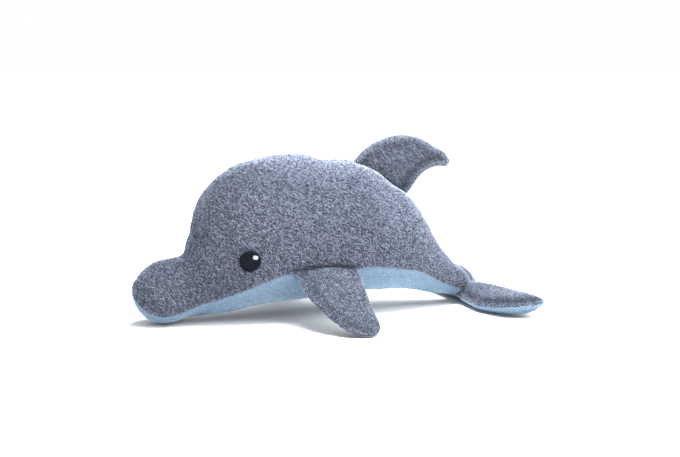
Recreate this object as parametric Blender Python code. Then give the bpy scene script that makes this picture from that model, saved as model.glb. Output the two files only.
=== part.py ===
# Plush dolphin lying on its belly, sewn from short looped pile cloth.
# Two grey side panels and a pale blue belly panel close round one filling.
# The dorsal fin, flippers and flukes are stuffed pouches sewn on to the body.
# Lengths are in metres. The nose points to -X, the animal's left is -Y, up is +Z.

import math

import bmesh
import bpy
import numpy as np

# Cloth, seams and filling
CLOTH = 0.0025
SEAM_GAP = 0.0003
FILLING_GAP = 0.0003
SEATING_GAP = 0.0003

# Body, from the nose tip to the end of the tail stock
BODY_LENGTH = 0.335
BODY_HEIGHT = 0.152
BODY_WIDTH = 0.116
NOSE_ROUNDING = 0.027
NOSE_HEIGHT = 0.033
TAIL_ROUNDING = 0.010
TAIL_HEIGHT = 0.019
WIDEST_SHARE = 0.42

# Each station: place along the length, back, belly, width, belly seam.
# Heights are shares of BODY_HEIGHT, and the width is a share of BODY_WIDTH.
# A belly below the ground is pressed flat there, as under the snout.
BODY_STATIONS = [
    (0.000, 0.358, -0.012, 0.44, 0.066),
    (0.060, 0.383, -0.012, 0.48, 0.070),
    (0.100, 0.402, -0.009, 0.50, 0.078),
    (0.137, 0.425, 0.014, 0.52, 0.092),
    (0.162, 0.550, 0.021, 0.57, 0.105),
    (0.185, 0.725, 0.027, 0.63, 0.120),
    (0.209, 0.805, 0.035, 0.69, 0.138),
    (0.248, 0.890, 0.046, 0.78, 0.172),
    (0.316, 0.962, 0.068, 0.89, 0.240),
    (0.406, 0.998, 0.094, 0.97, 0.300),
    (0.470, 1.000, 0.102, 1.00, 0.308),
    (0.560, 0.968, 0.115, 0.99, 0.312),
    (0.625, 0.955, 0.128, 0.97, 0.312),
    (0.752, 0.808, 0.123, 0.81, 0.280),
    (0.821, 0.674, 0.104, 0.66, 0.235),
    (0.870, 0.505, 0.080, 0.52, 0.172),
    (0.918, 0.352, 0.060, 0.39, 0.125),
    (0.967, 0.238, 0.046, 0.27, 0.090),
    (1.000, 0.200, 0.046, 0.22, 0.080),
]

# Dorsal fin: shares of its length along X and of its depth along Z
FIN_LENGTH = 0.099
FIN_DEPTH = 0.057
FIN_THICKNESS = 0.018
FIN_TIP_ROUNDING = 0.010
FIN_START_SHARE = 0.640
FIN_BASE_SHARE = 0.535
FIN_SECTIONS = [
    ((-0.08, 0.42), (0.42, -0.25), 1.00),
    ((0.09, 0.76), (0.59, 0.05), 1.00),
    ((0.28, 0.93), (0.66, 0.21), 0.90),
    ((0.47, 1.00), (0.73, 0.33), 0.82),
    ((0.64, 0.96), (0.81, 0.40), 0.76),
    ((0.83, 0.80), (0.90, 0.42), 0.68),
    ((1.00, 0.66), (1.00, 0.37), 0.62),
]

# Flippers: shares of the way out from the belly seam to the tip, and of the root's width
FLIPPER_WIDTH = 0.059
FLIPPER_REACH = 0.122
FLIPPER_THICKNESS = 0.016
FLIPPER_TIP_HEIGHT = 0.0015
FLIPPER_TIP_ROUNDING = 0.022
FLIPPER_START_SHARE = 0.416
FLIPPER_SECTIONS = [
    (-0.30, 0.06, 0.96, 0.80),
    (0.00, 0.00, 1.00, 1.00),
    (0.30, 0.02, 1.00, 1.00),
    (0.45, 0.09, 0.99, 0.95),
    (0.62, 0.19, 0.98, 0.88),
    (0.78, 0.31, 1.00, 0.80),
    (1.00, 0.43, 1.07, 0.68),
]

# Flukes: shares of the half span out from the middle, of their length along X,
# and of their thickness for the heights of both edges and for the thickness there
FLUKE_SPAN = 0.206
FLUKE_LENGTH = 0.054
FLUKE_THICKNESS = 0.022
FLUKE_TIP_ROUNDING = 0.018
FLUKE_OVERLAP = 0.016
FLUKE_SECTIONS = [
    (0.00, 0.00, 0.56, 0.40, 0.60, 0.94),
    (0.24, 0.00, 0.67, 0.31, 0.70, 0.96),
    (0.48, 0.02, 0.80, 0.29, 0.71, 0.94),
    (0.72, 0.13, 0.91, 0.36, 0.68, 0.94),
    (0.88, 0.27, 0.97, 0.46, 0.66, 0.84),
    (1.00, 0.40, 0.98, 0.56, 0.66, 0.72),
]

# Embroidered eyes
EYE_DIAMETER = 0.020
EYE_THICKNESS = 0.0015
EYE_ALONG_SHARE = 0.291
EYE_HEIGHT_SHARE = 0.401
GLINT_WIDTH = 0.0055
GLINT_HEIGHT = 0.0045
GLINT_THICKNESS = 0.0006
GLINT_BACK = 0.0042
GLINT_UP = 0.0037
GLINT_TURN = math.radians(15)

# Fineness of the lofts
BODY_RINGS = 36
SIDE_COLUMNS = 8
BELLY_COLUMNS = 4
FIN_COLUMNS = 14
FIN_ROWS = 9
FLUKE_ROWS = 18
EYE_COLUMNS = 20
GLINT_COLUMNS = 16

# Finishes: base colour and roughness
GREY_PILE = ((0.195, 0.215, 0.275), 0.95)
BLUE_PILE = ((0.285, 0.420, 0.585), 0.95)
WHITE_FILLING = ((0.86, 0.86, 0.84), 1.0)
NAVY_THREAD = ((0.016, 0.020, 0.034), 0.75)
PALE_THREAD = ((0.66, 0.70, 0.80), 0.70)

UP = np.array([0.0, 0.0, 1.0])
LEFT = np.array([0.0, -1.0, 0.0])


# Scene

def empty_the_scene():
    for item in list(bpy.data.objects):
        bpy.data.objects.remove(item)


def new_collection(name):
    collection = bpy.data.collections.new(name)
    bpy.context.scene.collection.children.link(collection)
    return collection


def finish(part, look):
    """Give a part its own material from a colour and a roughness."""
    colour, roughness = look
    material = bpy.data.materials.new(part.name + "_finish")
    material.use_nodes = True
    shader = material.node_tree.nodes["Principled BSDF"]
    shader.inputs["Base Color"].default_value = (*colour, 1.0)
    shader.inputs["Roughness"].default_value = roughness
    shader.inputs["Metallic"].default_value = 0.0
    part.data.materials.append(material)


# Curves

def smooth_curve(places, values, place):
    """Pass a smooth line through the stations without overshoot between them."""
    places = np.asarray(places, float)
    values = np.asarray(values, float)
    steps = np.diff(places)
    slopes = np.diff(values) / steps
    tangents = np.empty(len(places))
    tangents[0] = slopes[0]
    tangents[-1] = slopes[-1]
    for i in range(1, len(places) - 1):
        before, after = slopes[i - 1], slopes[i]
        if before * after <= 0:
            tangents[i] = 0.0
        else:
            near = 2 * steps[i] + steps[i - 1]
            far = steps[i] + 2 * steps[i - 1]
            tangents[i] = (near + far) / (near / before + far / after)
    i = int(np.clip(np.searchsorted(places, place) - 1, 0, len(steps) - 1))
    t = (place - places[i]) / steps[i]
    start = values[i] * (1 + 2 * t) * (1 - t) ** 2 + tangents[i] * steps[i] * t * (1 - t) ** 2
    end = values[i + 1] * t * t * (3 - 2 * t) - tangents[i + 1] * steps[i] * t * t * (1 - t)
    return start + end


def round_end(distance, rounding):
    """Share of the full section at a distance from an elliptical end."""
    if distance >= rounding:
        return 1.0
    return math.sqrt(max(0.0, 1.0 - (1.0 - distance / rounding) ** 2))


# Meshes from rows of points

def number_rows(points, rows):
    """Append the rows to the points. A row of one point is a pole."""
    width = max(len(row) for row in rows)
    table = []
    for row in rows:
        first = len(points)
        points.extend(row)
        if len(row) == 1:
            table.append([first] * width)
        else:
            table.append(list(range(first, first + width)))
    return table


def strip_faces(upper, lower, slants):
    """Triangles between two rows of vertex numbers, one slant for each column."""
    width = len(upper)
    faces = []
    for k, slant in enumerate(slants):
        after = (k + 1) % width
        a, b, c, d = upper[k], upper[after], lower[after], lower[k]
        pairs = [(a, b, c), (a, c, d)] if slant else [(a, b, d), (b, c, d)]
        faces.extend(face for face in pairs if len(set(face)) == 3)
    return faces


def make_part(name, points, faces, collection, look):
    shape = bmesh.new()
    corners = [shape.verts.new(point) for point in points]
    for face in faces:
        shape.faces.new([corners[i] for i in face])
    bmesh.ops.recalc_face_normals(shape, faces=shape.faces)
    mesh = bpy.data.meshes.new(name)
    shape.to_mesh(mesh)
    shape.free()
    mesh.shade_smooth()
    mesh.set_sharp_from_angle(angle=math.radians(50))
    part = bpy.data.objects.new(name, mesh)
    collection.objects.link(part)
    finish(part, look)
    return part


def make_solid(name, rows, slants, collection, look):
    """A closed body from closed rings. An end that is no pole gets a flat cap."""
    points = []
    table = number_rows(points, rows)
    faces = []
    for upper, lower in zip(table, table[1:]):
        faces.extend(strip_faces(upper, lower, slants))
    for end in (0, -1):
        if len(rows[end]) > 1:
            faces.append(table[end])
    return make_part(name, points, faces, collection, look)


def make_panel(name, outer, inner, slants, collection, look):
    """A cut piece of cloth: outer face, inner face and the edges between them."""
    points = []
    outer_table = number_rows(points, outer)
    inner_table = number_rows(points, inner)
    faces = []
    for table in (outer_table, inner_table):
        for upper, lower in zip(table, table[1:]):
            faces.extend(strip_faces(upper, lower, slants))
    for edge in (0, -1):
        outside = [row[edge] for row in outer_table]
        inside = [row[edge] for row in inner_table]
        faces.extend(strip_faces(outside, inside, [True] * (len(outside) - 1)))
        if len(outer[edge]) > 1:
            faces.extend(strip_faces(outer_table[edge], inner_table[edge], slants))
    return make_part(name, points, faces, collection, look)


def mirrored(rows):
    """The same rows on the other side of the middle plane."""
    return [[point * (1, -1, 1) for point in row] for row in rows]


# Body

def body_section(x):
    """Back, belly, half width, widest height and seam height at a place along the body."""
    shares = [
        smooth_curve([row[0] for row in BODY_STATIONS], [row[i] for row in BODY_STATIONS], x / BODY_LENGTH)
        for i in (1, 2, 3, 4)
    ]
    back, belly, seam = (shares[i] * BODY_HEIGHT for i in (0, 1, 3))
    half_width = shares[2] * BODY_WIDTH / 2
    widest = belly + WIDEST_SHARE * (back - belly)
    for distance, rounding, height in (
        (x, NOSE_ROUNDING, NOSE_HEIGHT),
        (BODY_LENGTH - x, TAIL_ROUNDING, TAIL_HEIGHT),
    ):
        share = round_end(distance, rounding)
        half_width *= share
        back, belly, widest, seam = (height + (z - height) * share for z in (back, belly, widest, seam))
    return back, belly, half_width, widest, seam


def ring_places():
    """Places of the rings, at even steps along the line of the back."""
    fine = BODY_LENGTH * (1 - np.cos(np.linspace(0, math.pi, 400))) / 2
    heights = [body_section(x)[0] for x in fine]
    steps = np.hypot(np.diff(fine), np.diff(heights))
    travelled = np.concatenate([[0.0], np.cumsum(steps)])
    wanted = np.linspace(0, travelled[-1], BODY_RINGS + 2)[1:-1]
    return np.interp(wanted, travelled, fine)


def body_ring(x):
    """Points round the body, from the back down the left side, then up the right side."""
    back, belly, half_width, widest, seam = body_section(x)
    seam_angle = -math.asin(min(1.0, max(-1.0, (widest - seam) / (widest - belly))))
    side = np.linspace(math.pi / 2, seam_angle, SIDE_COLUMNS + 1)
    under = np.linspace(seam_angle, -math.pi / 2, BELLY_COLUMNS + 1)
    left = []
    for angle in [*side, *under[1:]]:
        rise = back - widest if angle > 0 else widest - belly
        height = max(0.0, widest + rise * math.sin(angle))
        left.append(np.array([x, -half_width * math.cos(angle), height]))
    right = [point * (1, -1, 1) for point in reversed(left[1:-1])]
    return left + right


def body_rows(inset):
    """Rings of the body's surface, moved inwards by the inset, with a pole at each end."""
    nose = np.array([0.0, 0.0, NOSE_HEIGHT])
    tail = np.array([BODY_LENGTH, 0.0, TAIL_HEIGHT])
    rings = [body_ring(x) for x in ring_places()]
    count = len(rings[0])
    padded = [[nose] * count, *rings, [tail] * count]
    rows = [[nose + (inset, 0, 0)]]
    for i, ring in enumerate(rings, start=1):
        row = []
        for k, point in enumerate(ring):
            along = padded[i + 1][k] - padded[i - 1][k]
            around = ring[(k + 1) % count] - ring[k - 1]
            normal = np.cross(around, along)
            row.append(point - normal / np.linalg.norm(normal) * inset)
        rows.append(row)
    rows.append([tail - (inset, 0, 0)])
    return rows


def ring_slants():
    """The triangles slant one way on the left half and the other way on the right."""
    half = SIDE_COLUMNS + BELLY_COLUMNS
    return [True] * half + [False] * half


def towards(start, goal, step):
    way = goal - start
    return start + way / np.linalg.norm(way) * step


def cut_piece(rows, columns):
    """Some columns of the body's rings, with half a seam gap taken off both edges."""
    piece = []
    for row in rows[1:-1]:
        strip = [row[k % len(row)] for k in columns]
        first = towards(strip[0], strip[1], SEAM_GAP / 2)
        last = towards(strip[-1], strip[-2], SEAM_GAP / 2)
        piece.append([first, *strip[1:-1], last])
    middle = len(columns) // 2
    pole_step = SEAM_GAP * 0.6
    nose = [towards(rows[0][0], piece[0][middle], pole_step)]
    tail = [towards(rows[-1][0], piece[-1][middle], pole_step)]
    return [nose, *piece, tail]


def make_body(collection):
    outer = body_rows(0.0)
    inner = body_rows(CLOTH)
    slants = ring_slants()
    count = len(slants)
    seam_right = count - SIDE_COLUMNS
    pieces = [
        ("side_panel_left", 0, SIDE_COLUMNS, GREY_PILE),
        ("belly_panel", SIDE_COLUMNS, seam_right, BLUE_PILE),
        ("side_panel_right", seam_right, count, GREY_PILE),
    ]
    for name, first, last, look in pieces:
        columns = range(first, last + 1)
        outside = cut_piece(outer, columns)
        inside = cut_piece(inner, columns)
        make_panel(name, outside, inside, slants[first:last], collection, look)
    make_solid("body_stuffing", body_rows(CLOTH + FILLING_GAP), slants, collection, WHITE_FILLING)


# Fins

def fin_rows(sections, inset, rounding, facing, two_tips=False):
    """Rings of a stuffed fin from its root to its tip, or from tip to tip.

    Each section is the leading edge, the trailing edge and half the thickness.
    The inset makes every ring smaller by as much all round.
    """
    leads = np.array([section[0] for section in sections])
    trails = np.array([section[1] for section in sections])
    halves = [section[2] for section in sections]
    middles = (leads + trails) / 2
    places = np.concatenate([[0.0], np.cumsum(np.linalg.norm(np.diff(middles, axis=0), axis=1))])
    span = places[-1]

    def at(values, place):
        values = np.asarray(values)
        if values.ndim == 1:
            return smooth_curve(places, values, place)
        return np.array([smooth_curve(places, values[:, i], place) for i in range(3)])

    if two_tips:
        shares = (1 - np.cos(np.linspace(0, math.pi, FLUKE_ROWS + 1))) / 2
        spots = inset + shares * (span - 2 * inset)
    else:
        shares = np.sin(np.linspace(0, math.pi / 2, FIN_ROWS + 1))
        spots = shares * (span - inset)
    rows = []
    nudge = span / 500
    for i, spot in enumerate(spots):
        lead, trail = at(leads, spot), at(trails, spot)
        middle = (lead + trail) / 2
        if i == len(spots) - 1 or (two_tips and i == 0):
            rows.append([middle])
            continue
        left_over = span - inset - spot
        share = round_end(left_over, rounding - inset)
        if two_tips:
            share *= round_end(spot - inset, rounding - inset)
        chord = lead - trail
        width = np.linalg.norm(chord)
        forward = chord / width
        ahead = min(span, spot + nudge)
        behind = max(0.0, spot - nudge)
        outward = at(middles, ahead) - at(middles, behind)
        normal = np.cross(outward, forward)
        normal /= np.linalg.norm(normal)
        if np.dot(normal, facing) < 0:
            normal = -normal
        reach = (width / 2 - inset) * share
        height = (at(halves, spot) - inset) * share
        angles = np.linspace(0, 2 * math.pi, FIN_COLUMNS, endpoint=False)
        rows.append([middle + forward * reach * math.cos(a) + normal * height * math.sin(a) for a in angles])
    return rows


def half_fin(rows, facing, upper):
    """One cloth face of a fin, with half a seam gap taken off along its edge."""
    half = FIN_COLUMNS // 2
    shift = facing * SEAM_GAP / 2 * (1 if upper else -1)
    columns = range(0, half + 1) if upper else range(half, FIN_COLUMNS + 1)
    piece = []
    for row in rows:
        if len(row) == 1:
            piece.append([row[0] + shift])
            continue
        strip = [row[k % FIN_COLUMNS] for k in columns]
        piece.append([strip[0] + shift, *strip[1:-1], strip[-1] + shift])
    return piece


def make_fin(names, sections, rounding, facing, looks, two_tips, side, collection):
    """Two cloth faces and the filling of a fin. Side -1 turns the left fin into the right one."""
    insets = (0.0, CLOTH, CLOTH + FILLING_GAP)
    outer, inner, filling = (fin_rows(sections, inset, rounding, facing, two_tips) for inset in insets)
    made = []
    for name, upper, look in ((names[0], True, looks[0]), (names[1], False, looks[1])):
        outside = half_fin(outer, facing, upper)
        inside = half_fin(inner, facing, upper)
        if side < 0:
            outside, inside = mirrored(outside), mirrored(inside)
        made.append(make_panel(name, outside, inside, [True] * (FIN_COLUMNS // 2), collection, look))
    if side < 0:
        filling = mirrored(filling)
    made.append(make_solid(names[2], filling, [True] * FIN_COLUMNS, collection, WHITE_FILLING))
    return made


def dorsal_sections():
    start = FIN_START_SHARE * BODY_LENGTH
    base = body_section(start + FIN_BASE_SHARE * FIN_LENGTH)[0]
    sections = []
    for lead, trail, share in FIN_SECTIONS:
        edges = [
            np.array([start + along * FIN_LENGTH, 0.0, base + up * FIN_DEPTH])
            for along, up in (lead, trail)
        ]
        sections.append((*edges, share * FIN_THICKNESS / 2))
    return sections


def flipper_sections():
    start = FLIPPER_START_SHARE * BODY_LENGTH
    _, belly, half_width, widest, seam = body_section(start + FLIPPER_WIDTH / 2)
    seam_out = half_width * math.sqrt(1 - ((widest - seam) / (widest - belly)) ** 2)
    sections = []
    for out, lead, trail, share in FLIPPER_SECTIONS:
        y = -(seam_out + (FLIPPER_REACH - seam_out) * out)
        z = seam + (FLIPPER_TIP_HEIGHT - seam) * out
        edges = [np.array([start + x * FLIPPER_WIDTH, y, z]) for x in (lead, trail)]
        sections.append((*edges, share * FLIPPER_THICKNESS / 2))
    return sections


def fluke_sections():
    start = BODY_LENGTH - FLUKE_OVERLAP
    half = []
    for out, lead, trail, front_height, rear_height, share in FLUKE_SECTIONS:
        y = -out * FLUKE_SPAN / 2
        front = np.array([start + lead * FLUKE_LENGTH, y, front_height * FLUKE_THICKNESS])
        rear = np.array([start + trail * FLUKE_LENGTH, y, rear_height * FLUKE_THICKNESS])
        half.append((front, rear, share * FLUKE_THICKNESS / 2))
    other = [(front * (1, -1, 1), rear * (1, -1, 1), height) for front, rear, height in half[1:]]
    return half[::-1] + other


def make_fins(collection, cutters):
    envelope = make_solid("body_envelope", body_rows(-SEATING_GAP), ring_slants(), cutters, GREY_PILE)
    envelope.hide_render = True
    envelope.display_type = "WIRE"
    grey = (GREY_PILE, GREY_PILE)
    fins = make_fin(
        ("dorsal_fin_left", "dorsal_fin_right", "dorsal_fin_stuffing"),
        dorsal_sections(), FIN_TIP_ROUNDING, LEFT, grey, False, 1, collection,
    )
    for side, word in ((1, "left"), (-1, "right")):
        names = [f"flipper_{word}_{piece}" for piece in ("upper", "lower", "stuffing")]
        fins += make_fin(names, flipper_sections(), FLIPPER_TIP_ROUNDING, UP, grey, False, side, collection)
    fins += make_fin(
        ("fluke_upper", "fluke_lower", "fluke_stuffing"),
        fluke_sections(), FLUKE_TIP_ROUNDING, UP, (GREY_PILE, BLUE_PILE), True, 1, collection,
    )
    for piece in fins:
        cut = piece.modifiers.new("seated_on_the_body", "BOOLEAN")
        cut.operation = "DIFFERENCE"
        cut.solver = "EXACT"
        cut.object = envelope


# Eyes

def flank_point(x, z):
    """The body's left surface at a place along it and a height."""
    back, belly, half_width, widest, _ = body_section(x)
    rise = back - widest if z > widest else widest - belly
    return np.array([x, -half_width * math.sqrt(1 - ((z - widest) / rise) ** 2), z])


def flank_normal(x, z):
    step = 0.002
    along = flank_point(x + step, z) - flank_point(x - step, z)
    upward = flank_point(x, z + step) - flank_point(x, z - step)
    normal = np.cross(along, upward)
    return normal / np.linalg.norm(normal)


def stitched_patch(x, z, outline, normal, low, high, edge):
    """A thin domed pad on the flank: a pole, rings out to its edge, and rings back on top."""
    shares = (0.4, 0.75, 1.0)
    rise = high - low - edge
    levels = [(share, low) for share in shares]
    levels += [(share, low + edge + rise * (1 - share ** 2)) for share in reversed(shares)]
    rows = [[flank_point(x, z) + normal * low]]
    for share, level in levels:
        ring = [flank_point(x + along * share, z + up * share) for along, up in outline]
        rows.append([point + normal * level for point in ring])
    rows.append([flank_point(x, z) + normal * high])
    return rows


def make_eyes(collection):
    x = EYE_ALONG_SHARE * BODY_LENGTH
    z = EYE_HEIGHT_SHARE * BODY_HEIGHT
    normal = flank_normal(x, z)
    circle = [
        (EYE_DIAMETER / 2 * math.cos(a), EYE_DIAMETER / 2 * math.sin(a))
        for a in np.linspace(0, 2 * math.pi, EYE_COLUMNS, endpoint=False)
    ]
    pad_top = SEATING_GAP + EYE_THICKNESS
    eye = stitched_patch(x, z, circle, normal, SEATING_GAP, pad_top, EYE_THICKNESS / 2)
    square = []
    for a in np.linspace(0, 2 * math.pi, GLINT_COLUMNS, endpoint=False):
        across = GLINT_WIDTH / 2 * math.copysign(abs(math.cos(a)) ** 0.5, math.cos(a))
        up = GLINT_HEIGHT / 2 * math.copysign(abs(math.sin(a)) ** 0.5, math.sin(a))
        square.append((
            across * math.cos(GLINT_TURN) + up * math.sin(GLINT_TURN),
            up * math.cos(GLINT_TURN) - across * math.sin(GLINT_TURN),
        ))
    low = pad_top + SEATING_GAP
    glint = stitched_patch(
        x + GLINT_BACK, z + GLINT_UP, square, normal, low, low + GLINT_THICKNESS, GLINT_THICKNESS / 2,
    )
    for word in ("left", "right"):
        if word == "right":
            eye, glint = mirrored(eye), mirrored(glint)
        make_solid(f"eye_{word}", eye, [True] * EYE_COLUMNS, collection, NAVY_THREAD)
        make_solid(f"eye_{word}_glint", glint, [True] * GLINT_COLUMNS, collection, PALE_THREAD)


# Placing

def stand_on_the_origin(parts, cutters):
    """Move everything so that the middle of the bottom of the parts' box is the origin."""
    corners = np.array([vertex.co[:] for part in parts for vertex in part.data.vertices])
    low, high = corners.min(axis=0), corners.max(axis=0)
    frame = bpy.data.objects.new("dolphin_frame", None)
    bpy.context.scene.collection.objects.link(frame)
    frame.location = (-(low[0] + high[0]) / 2, -(low[1] + high[1]) / 2, -low[2])
    for part in [*parts, *cutters]:
        part.parent = frame


def main():
    empty_the_scene()
    dolphin = new_collection("plush_dolphin")
    tools = new_collection("cutters")
    make_body(dolphin)
    make_fins(dolphin, tools)
    make_eyes(dolphin)
    stand_on_the_origin(list(dolphin.objects), list(tools.objects))


main()
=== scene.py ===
import math

import bmesh
import bpy
import numpy as np
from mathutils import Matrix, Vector, kdtree
from mathutils.bvhtree import BVHTree


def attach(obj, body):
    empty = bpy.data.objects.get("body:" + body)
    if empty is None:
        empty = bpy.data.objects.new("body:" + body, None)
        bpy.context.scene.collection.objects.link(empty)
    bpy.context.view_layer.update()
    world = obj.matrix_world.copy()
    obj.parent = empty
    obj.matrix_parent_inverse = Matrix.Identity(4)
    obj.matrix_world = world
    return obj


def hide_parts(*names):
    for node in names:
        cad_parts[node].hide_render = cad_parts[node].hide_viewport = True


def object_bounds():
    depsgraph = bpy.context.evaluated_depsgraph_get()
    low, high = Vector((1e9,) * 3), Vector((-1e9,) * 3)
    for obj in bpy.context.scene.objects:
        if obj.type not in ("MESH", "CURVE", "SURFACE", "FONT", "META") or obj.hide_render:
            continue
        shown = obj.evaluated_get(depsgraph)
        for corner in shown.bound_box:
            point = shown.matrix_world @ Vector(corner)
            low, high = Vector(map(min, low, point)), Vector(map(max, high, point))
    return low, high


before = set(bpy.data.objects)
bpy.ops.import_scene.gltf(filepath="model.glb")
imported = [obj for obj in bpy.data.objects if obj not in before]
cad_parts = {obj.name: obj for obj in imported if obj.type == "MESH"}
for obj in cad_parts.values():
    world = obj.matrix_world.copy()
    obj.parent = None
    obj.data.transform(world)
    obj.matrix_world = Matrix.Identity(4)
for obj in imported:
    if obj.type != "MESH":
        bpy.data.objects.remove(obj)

bl_info = {
    "name": "Plush dolphin",
    "version": (1, 0, 0),
    "blender": (4, 5, 0),
    "location": "View3D > Sidebar > Plush dolphin",
    "description": "Sews, stuffs and covers a dolphin in looped pile cloth around its pattern solids",
    "category": "Mesh",
}

CAD_BOX = [list(corner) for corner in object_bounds()]
BODY = "root"

# Pattern of the toy in metres, with the part's own values. Only the seam under the nose, the belly's
# hang, the flukes' leading edge and the right fluke's rear edge differ from its solids.
# The nose points to -X, the animal's left is -Y, up is +Z.

NOSE_X = CAD_BOX[0][0]
BODY_LENGTH = 0.335
BODY_HEIGHT = 0.152
BODY_WIDTH = 0.116
NOSE_ROUNDING = 0.027
NOSE_HEIGHT = 0.033
TAIL_ROUNDING = 0.010
TAIL_HEIGHT = 0.019
WIDEST_SHARE = 0.42

# Place along the length, back, belly, width, belly seam
BODY_STATIONS = [
    (0.000, 0.358, -0.012, 0.44, 0.066),
    (0.060, 0.383, -0.012, 0.48, 0.070),
    (0.100, 0.402, -0.009, 0.50, 0.078),
    (0.137, 0.425, 0.014, 0.52, 0.092),
    (0.162, 0.550, 0.021, 0.57, 0.105),
    (0.185, 0.725, 0.027, 0.63, 0.120),
    (0.209, 0.805, 0.035, 0.69, 0.138),
    (0.248, 0.890, 0.046, 0.78, 0.172),
    (0.316, 0.962, 0.068, 0.89, 0.240),
    (0.406, 0.998, 0.094, 0.97, 0.300),
    (0.470, 1.000, 0.102, 1.00, 0.308),
    (0.560, 0.968, 0.115, 0.99, 0.312),
    (0.625, 0.955, 0.128, 0.97, 0.312),
    (0.752, 0.808, 0.123, 0.81, 0.280),
    (0.821, 0.674, 0.104, 0.66, 0.235),
    (0.870, 0.505, 0.080, 0.52, 0.172),
    (0.918, 0.352, 0.060, 0.39, 0.125),
    (0.967, 0.238, 0.046, 0.27, 0.090),
    (1.000, 0.200, 0.046, 0.22, 0.080),
]

# Leading edge, trailing edge and thickness of the dorsal fin, from the root up
FIN_LENGTH = 0.099
FIN_DEPTH = 0.057
FIN_THICKNESS = 0.018
FIN_TIP_ROUNDING = 0.010
FIN_START_SHARE = 0.640
FIN_BASE_SHARE = 0.535
FIN_SECTIONS = [
    ((-0.08, 0.42), (0.42, -0.25), 1.00),
    ((0.09, 0.76), (0.59, 0.05), 1.00),
    ((0.28, 0.93), (0.66, 0.21), 0.90),
    ((0.47, 1.00), (0.73, 0.33), 0.82),
    ((0.64, 0.96), (0.81, 0.40), 0.76),
    ((0.83, 0.80), (0.90, 0.42), 0.68),
    ((1.00, 0.66), (1.00, 0.37), 0.62),
]

# Way out, leading edge, trailing edge and thickness of a flipper
FLIPPER_WIDTH = 0.059
FLIPPER_REACH = 0.122
FLIPPER_THICKNESS = 0.016
FLIPPER_TIP_HEIGHT = 0.0015
FLIPPER_TIP_ROUNDING = 0.022
FLIPPER_START_SHARE = 0.416
FLIPPER_SECTIONS = [
    (-0.30, 0.06, 0.96, 0.80),
    (0.00, 0.00, 1.00, 1.00),
    (0.30, 0.02, 1.00, 1.00),
    (0.45, 0.09, 0.99, 0.95),
    (0.62, 0.19, 0.98, 0.88),
    (0.78, 0.31, 1.00, 0.80),
    (1.00, 0.43, 1.07, 0.68),
]

# Way out from the middle, leading edge, trailing edge, both heights and thickness of the flukes
FLUKE_SPAN = 0.206
FLUKE_LENGTH = 0.054
FLUKE_THICKNESS = 0.022
FLUKE_TIP_ROUNDING = 0.018
FLUKE_OVERLAP = 0.016
FLUKE_SECTIONS = [
    (0.00, 0.00, 0.56, 0.40, 0.60, 0.94),
    (0.24, -0.03, 0.67, 0.31, 0.70, 0.96),
    (0.48, -0.04, 0.80, 0.29, 0.71, 0.94),
    (0.72, 0.07, 0.91, 0.36, 0.68, 0.94),
    (0.88, 0.23, 0.97, 0.46, 0.66, 0.84),
    (1.00, 0.40, 0.98, 0.56, 0.66, 0.72),
]

# The right fluke lies a little higher along its rear edge than the left one
FLUKE_LIFT = (0.0015, 0.0035, 0.0035, 0.0020, 0.0)

EYE_ALONG_SHARE = 0.291
EYE_HEIGHT_SHARE = 0.401
GLINT_BACK = 0.0042
GLINT_UP = 0.0037
GLINT_TURN = math.radians(15)

# Fineness of the cloth before its one subdivision
BODY_RINGS = 72
SIDE_COLUMNS = 24
BELLY_COLUMNS = 10
FIN_ROWS = 18
FIN_COLUMNS = 28
FLUKE_ROWS = 52

# Simulation of the stuffed cloth
CLOTH_STEPS = 20

LEFT = np.array([0.0, -1.0, 0.0])
UP = np.array([0.0, 0.0, 1.0])
OTHER_SIDE = np.array([1, -1, 1])


def linear(hex_colour):
    """An sRGB hex colour as linear red, green and blue."""
    shares = [int(hex_colour[i:i + 2], 16) / 255 for i in (1, 3, 5)]
    return tuple(s / 12.92 if s <= 0.04045 else ((s + 0.055) / 1.055) ** 2.4 for s in shares)


# Settings

def length_setting(name, description, default, least, most):
    """A length that a user may set."""
    return bpy.props.FloatProperty(
        name=name, description=description, default=default, min=least, max=most,
        unit="LENGTH", subtype="DISTANCE")


def colour_setting(name, description, hex_colour):
    """A colour that a user may set."""
    return bpy.props.FloatVectorProperty(
        name=name, description=description, default=linear(hex_colour), min=0.0, max=1.0, subtype="COLOR")


# The loops are drawn a little coarser than real ones, so that they show
class PileSettings(bpy.types.PropertyGroup):
    loop_length: length_setting("Loop length", "Length of a grey loop along the cloth", 0.0028, 0.001, 0.01)
    loop_width: length_setting("Loop width", "Width of a grey loop", 0.00083, 0.0005, 0.004)
    loop_height: length_setting(
        "Loop height", "Height of a grey loop above the knitted backing", 0.0009, 0.0002, 0.006)
    row_spacing: length_setting(
        "Spacing along", "Least distance between grey loops along the nap", 0.0016, 0.001, 0.01)
    wale_spacing: length_setting(
        "Spacing across", "Least distance between grey loops across the nap", 0.00061, 0.0005, 0.01)
    blue_share: bpy.props.FloatProperty(
        name="Blue pile share", description="Size of the blue loops against the grey ones",
        default=1.0, min=0.3, max=1.5, subtype="FACTOR")
    spread: bpy.props.FloatProperty(
        name="Spread", description="How far a loop may turn from the nap",
        default=math.radians(15), min=0.0, max=math.pi, unit="ROTATION", subtype="ANGLE")


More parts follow.
